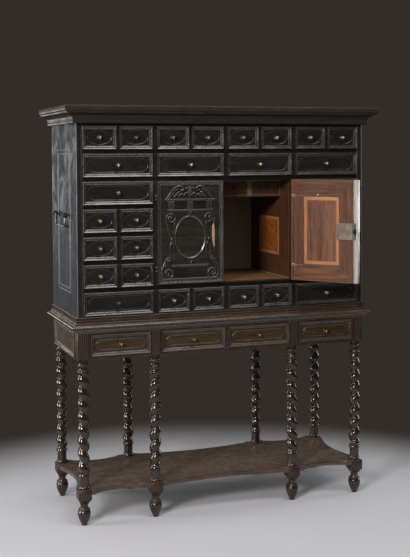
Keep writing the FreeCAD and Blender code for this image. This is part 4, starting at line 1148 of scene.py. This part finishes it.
def doorChip():
    # Bare wood where the strap of the left door has broken away
    shape, rings = newShape(), []
    hinge, meeting, z0, z1 = doorPlaces(-1)
    middleX, middleZ = (hinge + meeting) / 2, (z0 + z1) / 2
    for up, a, half in chipRows:
        wobble = 0.7 * math.sin(up * 0.9)
        places = ((-half, 0), (-half * 0.7, 1.3 + wobble * 0.3), (-half * 0.1, 0.7),
                  (half * 0.35, 1.9 + wobble * 0.4), (half * 0.8, 1.2), (half, 0))
        rings.append([Vector((middleX + (a + out + wobble) * mm, frontY - proud * mm, middleZ + up * mm))
                      for out, proud in places])
    addRings(shape, rings)
    return shape


def doorVeneer(way):
    look, shape = doorLook, newShape()
    hinge, meeting, z0, z1 = doorPlaces(way)
    back = frontY + look["board"]
    at = lambda a, z, out: Vector((a, back + out, z))
    inner = meeting + way * look["lipWidth"] if way > 0 else meeting
    a0, a1 = sorted((hinge, inner))
    e = look["edge"]
    wide, foot, line = look["bandWidth"], look["bandFoot"], look["stringing"]
    addMitredBand(shape, at, a0 + e, a1 - e, z0 + e, z1 - e, wide, look["veneer"], (0, 1), foot)
    a0, a1, b0, b1 = a0 + wide, a1 - wide, z0 + foot, z1 - foot
    addMitredBand(shape, at, a0, a1, b0, b1, line, look["veneer"] * 1.5, (2, 3))
    field = rectangle(a0 + line, a1 - line, b0 + line, b1 - line)
    addPlate(shape, field, at, -look["sunk"], look["veneer"], 4)
    return shape


doorParts = (
    # Name, builder, finishes, sharp angle and slot of the record
    ("shell", doorShell, ("ebonyMoulding", "doorBorder", "wornEdge", "iron"), 30, "ebonised_wood"),
    ("carving", doorFrames, ("ebonyCarving", "ebonyField"), 42, "ebonised_wood"),
    ("veneer", doorVeneer, ("doorBorder", "doorBorderAcross", "fruitwoodLine", "fruitwoodLineAcross",
                            "doorPanel"), 30, "niche_veneer"),
)


def dressDoors():
    look = doorLook
    axis = Vector((liningHigh.x + look["axisSide"], frontY - look["axisOut"], 0))
    opened = (Matrix.Translation(axis) @ Matrix.Rotation(math.radians(openAngle), 4, "Z")
              @ Matrix.Translation(-axis))
    for node, way, place in (("left_door", -1, None), ("right_door", 1, opened)):
        for part, build, looks, sharp, slot in doorParts:
            name = node + "_" + part
            putPiece(name, makeMesh(name, build(way), looks, sharp), node, place=place)
    chip = makeMesh("bareWood", doorChip(), ["bareChip"], 60)
    putPiece("left_door_bare_wood", chip, "left_door", False)
    dressLock(opened)


lockLook = lengths(
    start=0.5, width=75, height=70, thickness=3.2, edge=0.7, screw=2.6, screwInset=6, screwProud=0.7,
    bolt=20, boltFrom=13, boltTo=3, boltProud=1, boltEdge=0.6,
    selvedge=7, selvedgeFrom=11, selvedgeDeep=0.5, selvedgeProud=0.8, selvedgeEdge=0.3) | {
    # On the door's inside, in millimetres: wire ends and the wire from the hinge, and nail heads
    "wireEnds": ((281, 303, -5.5, -1.5), (284, 304, 0.5, 4.5)),
    "wire": ((282, -3), (272, -1), (262, 0), (246, -1)),
    "nails": ((177, 1345, 5.0, 2.6, 0), (293, 1370, 2.6, 0.8, 1), (16, 1002, 3.4, 1.6, 1)),
}


def dressLock(place):
    look, door, shape = lockLook, doorLook, newShape()
    hinge, meeting, z0, z1 = doorPlaces(1)
    edge, back, middle = meeting + door["lipWidth"], frontY + door["board"], (z0 + z1) / 2
    half, bolt = look["height"] / 2, look["bolt"] / 2
    low, high = middle - half, middle + half
    x0, x1 = edge - look["start"], edge + look["width"]
    face, lip, inset = back + look["thickness"], frontY + door["lipThickness"], look["screwInset"]
    addBoard(shape, (x0, back, low), (x1, face, high), look["edge"])
    for a in (x0 + inset, x1 - inset):
        for z in (low + inset, high - inset):
            addDome(shape, lambda u, v, out: Vector((u, face + out, v)), a, z, look["screw"],
                    look["screwProud"])
    start = edge - look["selvedgeFrom"]
    addBoard(shape, (start, lip - look["selvedgeDeep"], low),
             (start + look["selvedge"], lip + look["selvedgeProud"], high), look["selvedgeEdge"], 1)
    addBoard(shape, (edge - look["boltFrom"], lip, middle - bolt),
             (edge - look["boltTo"], back + look["boltProud"], middle + bolt), look["boltEdge"], 1)
    lock = makeMesh("lock", shape, ["steel", "iron"])
    putPiece("lock_plate", lock, "door_lock", place=place)
    # The clenched ends of the hinge wires and three old nails, on the inside
    shape = newShape()
    at = lambda a, z, out: Vector((a * mm, back + out * mm, z * mm))
    for z in (z0 + door["hingeInset"], z1 - door["hingeInset"]):
        z = z / mm
        for a0, a1, below, above in look["wireEnds"]:
            addBoardOn(shape, at, a0, a1, z + below, z + above, 1.6)
        addStrap(shape, at, [(a, z + up) for a, up in look["wire"]], 2.0, 1.2)
    for a, z, radius, proud, slot in look["nails"]:
        addDome(shape, at, a, z, radius, proud, slot)
    ironwork = makeMesh("ironwork", shape, ["brightWire", "iron"])
    putPiece("right_door_ironwork", ironwork, "right_door", False, place)


dressDoors()
print("doors dressed")

# Beads along the lines cut in the case sides, rounded corners and the ebony of the front edges; beads and
# corners take a lighter finish, a painted highlight
sideLook = lengths(
    lineInset=118, lineBand=14, beadWidth=3.4, beadHeight=1.1, wavePitch=9, wave=0.15, endGap=0.2,
    edgeWidth=19, facing=0.3, cornerRadius=2.4, cornerInset=1.9)
roundBead = (
    (0, 0, 0), (0.15, 0.6, 0), (0.35, 0.95, 0), (0.5, 1, 0), (0.65, 0.95, 0), (0.85, 0.6, 0), (1, 0, 0))


def dressSides():
    look = sideLook
    z0, z1 = caseLow.z + look["endGap"], caseHigh.z - look["endGap"]
    wide = look["beadWidth"]
    bead = scaled(roundBead, wide, look["beadHeight"])
    radius, inset = look["cornerRadius"], look["cornerInset"]
    edges = (caseLow.y + inset, caseHigh.y - radius)
    for side, way in (("left", -1), ("right", 1)):
        at, shape = sideFace(way * caseHigh.x, way), newShape()
        for away in (look["lineInset"] - wide, look["lineInset"] + look["lineBand"]):
            outline = rectangle(caseLow.y + away, caseHigh.y - away, caseLow.z + away, caseHigh.z - away)
            addMoulding(shape, polygonPath(outline, look["wavePitch"]), bead, at, look["wave"])
        # The rounded corners take the bead's lighter finish, a painted highlight along each corner
        corner = way * (caseHigh.x - inset)
        for y in edges:
            ring = [(corner + radius * math.cos(t), y + radius * math.sin(t)) for t in circle(20)]
            addRings(shape, [[Vector((a, b, z)) for a, b in ring] for z in (z0, z1)])
        a0, a1 = sorted((way * (caseHigh.x - radius), way * (caseHigh.x - look["edgeWidth"])))
        addBoardOn(shape, frontFace(caseLow.y), a0, a1, z0, z1, look["facing"], 1)
        beads = makeMesh("caseBeads", shape, ["sideBead", "edgeEbony"])
        putPiece(side + "_case_beads", beads, "case_sides", False)


dressSides()
print("sides dressed")

# Framed boards at the two ends of the stand
apronLook = lengths(
    postDepth=48, coveHeight=16, boardProud=7, frameWidth=21, frameHeight=7.9, ripple=0.2, ripplePitch=6,
    roundHeight=13, roundProud=9.4, roundFoot=0.2, fieldProud=0.9, fieldOver=1)


def dressAprons():
    look = apronLook
    y0, y1 = friezeLow.y + look["postDepth"], friezeHigh.y - look["postDepth"]
    z0, z1 = friezeLow.z, friezeHigh.z - look["coveHeight"]
    tall, out = look["roundHeight"], look["roundProud"]
    roundEdge = [(z0 + tall * (1 - math.cos(t)) / 2, look["roundFoot"] + out * math.sin(t))
                 for t in [math.pi * k / 10 for k in range(11)]]
    for side, way in (("left", -1), ("right", 1)):
        at, shape = sideFace(way * (friezeHigh.x - look["boardProud"]), way), newShape()
        addMoulding(shape, polygonPath(rectangle(y0, y1, z0, z1), look["ripplePitch"]),
                    scaled(frameProfile, look["frameWidth"], look["frameHeight"]), at, look["ripple"])
        addLedge(shape, at, y0 + out, y1 - out, roundEdge)
        inset = look["frameWidth"] - look["fieldOver"]
        field = rectangle(y0 + inset, y1 - inset, z0 + inset, z1 - inset)
        addPlate(shape, field, at, 0, look["fieldProud"])
        apron = makeMesh("apron", shape, ["apronWood"])
        putPiece(side + "_apron_frame", apron, "stand_frieze", False)


dressAprons()
print("aprons made")

# Niche: veneered lining with inlaid panels, and the housing of its drawers
nicheLook = lengths(
    lining=5, drawerFace=110, drawerHeight=68, shelf=6, divider=14, reedProud=1.4,
    panelFront=128, panelBack=350, panelLow=1072, panelHigh=1240, panelLine=13, backPanelHalf=208,
    veneer=0.15, sunk=0.3, cornerStrip=6, stripHeight=2.5, stripEdge=0.8,
    edge=0.6, shelfEdge=1.2, backEdge=0.3)
reedsPerDivider = 3


def dressNiche():
    look, shape = nicheLook, newShape()
    low, high, t = liningLow, liningHigh, nicheLook["lining"]
    inner = high.x - t
    floorZ, topZ, back = low.z + t, high.z - t, high.y - t
    addBoard(shape, (low.x, low.y, low.z), (high.x, high.y, floorZ), look["edge"], 0, {"-y": 1})
    addBoard(shape, (low.x, low.y, topZ), (high.x, high.y, high.z), look["edge"], 2, {"-y": 1})
    for way in (-1, 1):
        x0, x1 = sorted((way * inner, way * high.x))
        addBoard(shape, (x0, low.y, floorZ), (x1, high.y, topZ), look["edge"], 1)
    addBoard(shape, (-inner, back, floorZ), (inner, high.y, topZ), look["backEdge"], 2)
    face, shelfTop = frontY + look["drawerFace"], topZ - look["drawerHeight"]
    addBoard(shape, (-inner, face, shelfTop - look["shelf"]), (inner, back, shelfTop), look["shelfEdge"], 1)
    wide = (2 * inner - 3 * look["divider"]) / 4
    for k in range(3):
        x0 = -inner + (k + 1) * wide + k * look["divider"]
        addBoard(shape, (x0, face, shelfTop), (x0 + look["divider"], back, topZ), look["backEdge"], 1)
        for j in range(reedsPerDivider):
            a = x0 + look["divider"] * (j + 0.5) / reedsPerDivider
            addRib(shape, [(a, shelfTop), (a, topZ)], [look["divider"] * 0.29] * 2,
                   [look["reedProud"]] * 2, frontFace(face), 3, 6)
    lining = makeMesh("lining", shape, ["nicheFloor", "nicheRed", "nicheDark", "nicheEdge"])
    putPiece("niche_lining_boards", lining, "niche_lining")
    shape, line, veneer, sunk = newShape(), look["panelLine"], look["veneer"], look["sunk"]
    y0, y1 = frontY + look["panelFront"], frontY + look["panelBack"]
    z0, z1 = look["panelLow"], look["panelHigh"]
    field = rectangle(y0 + line, y1 - line, z0 + line, z1 - line)
    for way in (-1, 1):
        at = sideFace(way * inner, -way)
        addMitredBand(shape, at, y0, y1, z0, z1, line, veneer, (0, 1))
        addPlate(shape, field, at, -sunk, veneer, 2)
        x0, x1 = sorted((way * inner, way * (inner - look["cornerStrip"])))
        addBoard(shape, (x0, low.y, floorZ - sunk), (x1, back, floorZ + look["stripHeight"]),
                 look["stripEdge"], 3)
    half = look["backPanelHalf"]
    addMitredBand(shape, frontFace(back), -half, half, z0, z1, line * 0.7, veneer, (4, 4))
    inlay = makeMesh("inlay", shape, [
        "fruitwoodLine", "fruitwoodLineAcross", "wallBurl", "nicheEdge", "nicheDarkLine"])
    putPiece("niche_inlay", inlay, "niche_lining", False)


dressNiche()
print("niche dressed")

# Bail handles, forged thicker in the middle
bailLook = lengths(
    radius=4.15, endRadius=3.4, span=180, drop=47, bend=20, end=13, standOff=16, hammered=0.12) | {
    "heightShare": 0.53, "sides": 14}


def bailMesh(way):
    look, shape = bailLook, newShape()
    half, drop, bend = look["span"] / 2, look["drop"], look["bend"]
    x, y = way * (caseHalf + look["standOff"]), (frontY + backY) / 2
    z = caseLow.z + look["heightShare"] * (caseHigh.z - caseLow.z)
    line = [(-half - look["end"], 0), (-half - 3 * mm, 0), (-half + 1 * mm, -3 * mm),
            (-half + 1 * mm, -12 * mm), (-half, bend - drop)]
    line += [(-half + bend - bend * math.cos(t), bend - drop - bend * math.sin(t))
             for t in [math.pi / 2 * k / 6 for k in range(1, 7)]]
    line += [(-half * 0.4, -drop), (0, -drop)]
    line += [(-a, b) for a, b in reversed(line[:-1])]
    line = smoothRun(line, 3)
    count, rings = len(line), []
    for k, (a, b) in enumerate(line):
        before, after = line[max(k - 1, 0)], line[min(k + 1, count - 1)]
        run = Vector((after[0] - before[0], after[1] - before[1])).normalized()
        swell = (look["radius"] - look["endRadius"]) * math.sin(math.pi * k / (count - 1)) ** 0.6
        thick = look["endRadius"] + swell + look["hammered"] * math.sin(k * 1.7)
        rings.append([(x + thick * math.cos(t), y + a - run.y * thick * math.sin(t),
                       z + b + run.x * thick * math.sin(t)) for t in circle(look["sides"])])
    addRings(shape, rings)
    return shape


for node, way in (("left_handle", -1), ("right_handle", 1)):
    putPiece(node + "_bail", makeMesh(node, bailMesh(way), ["wornIron"], 60), node)
print("handles made")

# Floor, light and camera
sceneLook = {
    "floorHalf": 9.0, "floorColour": (196, 194, 196), "floorShade": (190, 188, 190),
    "floorRough": 0.6, "mottle": 1.6, "backdropColour": (50, 45, 41),
    # A painted pool of light on the floor: its centre, and where its fall-off into the backdrop colour
    # starts and ends
    "poolCentre": (-0.15, -0.35, 0.0), "poolInner": 1.0, "poolOuter": 1.9,
    "worldStrength": 0.42, "worldColour": (235, 236, 240), "aim": (0.0, 0.0, 0.9), "plainLevel": 9.87,
    # Lamps: place, size and share of a plain level at the aim
    "window": ((-6.2, 0.9, 1.7), (2.2, 2.6), 0.60),
    "front": ((-5.0, -4.7, 3.8), (1.5, 1.5), 0.62),
    "above": ((0.3, -2.0, 4.6), (2.2, 1.3), 0.36),
    "behind": ((-1.9, 4.0, 1.35), (1.0, 0.7), 0.05),
    "right": ((6.0, 0.5, 1.6), (1.2, 2.0), 0.20),
    "cameraSpot": (-1.6446, -4.2747, 1.5146), "cameraTurn": (-19.94, -2.28, -0.28),
    "focalPixels": 1080.78, "framePixels": (410, 557), "centrePixels": (205.07, 198.76), "sensor": 36.0,
}


def softLight(name, spot, size, share):
    lamp = bpy.data.lights.new(name, "AREA")
    lamp.shape = "RECTANGLE"
    lamp.size, lamp.size_y = size
    away = Vector(spot) - Vector(sceneLook["aim"])
    lamp.energy = sceneLook["plainLevel"] * share * away.length_squared
    holder = bpy.data.objects.new(name, lamp)
    holder.location = spot
    holder.rotation_euler = away.to_track_quat("Z", "Y").to_euler()
    holder.visible_camera = False
    bpy.context.scene.collection.objects.link(holder)


def makeSurroundings():
    look, scene = sceneLook, bpy.context.scene
    half = look["floorHalf"]
    mesh = bpy.data.meshes.new("floor")
    corners = [(a, b, 0) for a, b in rectangle(-half, half, -half, half)]
    mesh.from_pydata(corners, [], [(0, 1, 2, 3)])
    floor = bpy.data.objects.new("floor", mesh)
    scene.collection.objects.link(floor)
    # The floor is pale round the cabinet, a painted pool of light, and falls off into the backdrop colour,
    # which it shows as a glow instead of lit paint
    finish, tree, shader = newFinish("floorPaint", Roughness=look["floorRough"], Specular_IOR_Level=0.0)
    place = objectSpace(tree)
    away = vectorNode(tree, "DISTANCE", place, look["poolCentre"])["Value"]
    shade = noiseNode(tree, place, look["mottle"], 3.0)
    backdrop, pale, dull = (tone(*look[key]) for key in ("backdropColour", "floorColour", "floorShade"))
    tree.links.new(blendColour(tree, shade, dull, pale), shader.inputs["Base Color"])
    paintedFalloff = ramp(tree, away, look["poolInner"], look["poolOuter"])
    dark = addNode(tree, "ShaderNodeEmission", None, {"Color": backdrop, "Strength": 1.0})
    blend = addNode(tree, "ShaderNodeMixShader", None, {0: paintedFalloff, 1: shader.outputs[0], 2: dark.outputs[0]})
    tree.links.new(blend.outputs[0], tree.nodes["Material Output"].inputs["Surface"])
    mesh.materials.append(finish)
    for name in ("window", "front", "above", "behind", "right"):
        softLight(name, *look[name])
    world = bpy.data.worlds.new("studio")
    scene.world = world
    world.use_nodes = True
    tree = world.node_tree
    tree.nodes.clear()
    rays = addNode(tree, "ShaderNodeLightPath").outputs
    mirrored = mathNode(tree, "ADD", rays["Is Glossy Ray"], rays["Is Transmission Ray"], True)
    plain = addNode(tree, "ShaderNodeBackground", None, {
        "Color": tone(*look["worldColour"]), "Strength": look["worldStrength"]})
    seen = addNode(tree, "ShaderNodeBackground", None, {"Color": backdrop, "Strength": 1.0})
    direct = mathNode(tree, "ADD", mirrored, rays["Is Camera Ray"], True)
    both = addNode(tree, "ShaderNodeMixShader", None, {0: direct, 1: plain.outputs[0], 2: seen.outputs[0]})
    tree.links.new(both.outputs[0], addNode(tree, "ShaderNodeOutputWorld").inputs[0])
    scene.view_settings.view_transform = "Standard"


def makeCamera():
    look = sceneLook
    yaw, pitch, roll = (math.radians(a) for a in look["cameraTurn"])
    ahead = Vector((-math.sin(yaw) * math.cos(pitch), math.cos(yaw) * math.cos(pitch), math.sin(pitch)))
    right = Vector((math.cos(yaw), math.sin(yaw), 0))
    up = right.cross(ahead)
    across = right * math.cos(roll) + up * math.sin(roll)
    up = up * math.cos(roll) - right * math.sin(roll)
    turn = Matrix((across, up, -ahead)).transposed().to_4x4()
    lens = bpy.data.cameras.new("camera")
    wide, tall = look["framePixels"]
    lens.sensor_width = look["sensor"]
    lens.lens = look["focalPixels"] * look["sensor"] / tall
    lens.shift_x = (wide / 2 - look["centrePixels"][0]) / tall
    lens.shift_y = (look["centrePixels"][1] - tall / 2) / tall
    camera = bpy.data.objects.new("camera", lens)
    spot = Vector(look["cameraSpot"]) + Vector((0, frontY, 0))
    camera.matrix_world = Matrix.Translation(spot) @ turn
    bpy.context.scene.collection.objects.link(camera)
    bpy.context.scene.camera = camera


makeSurroundings()
makeCamera()
print("surroundings made")
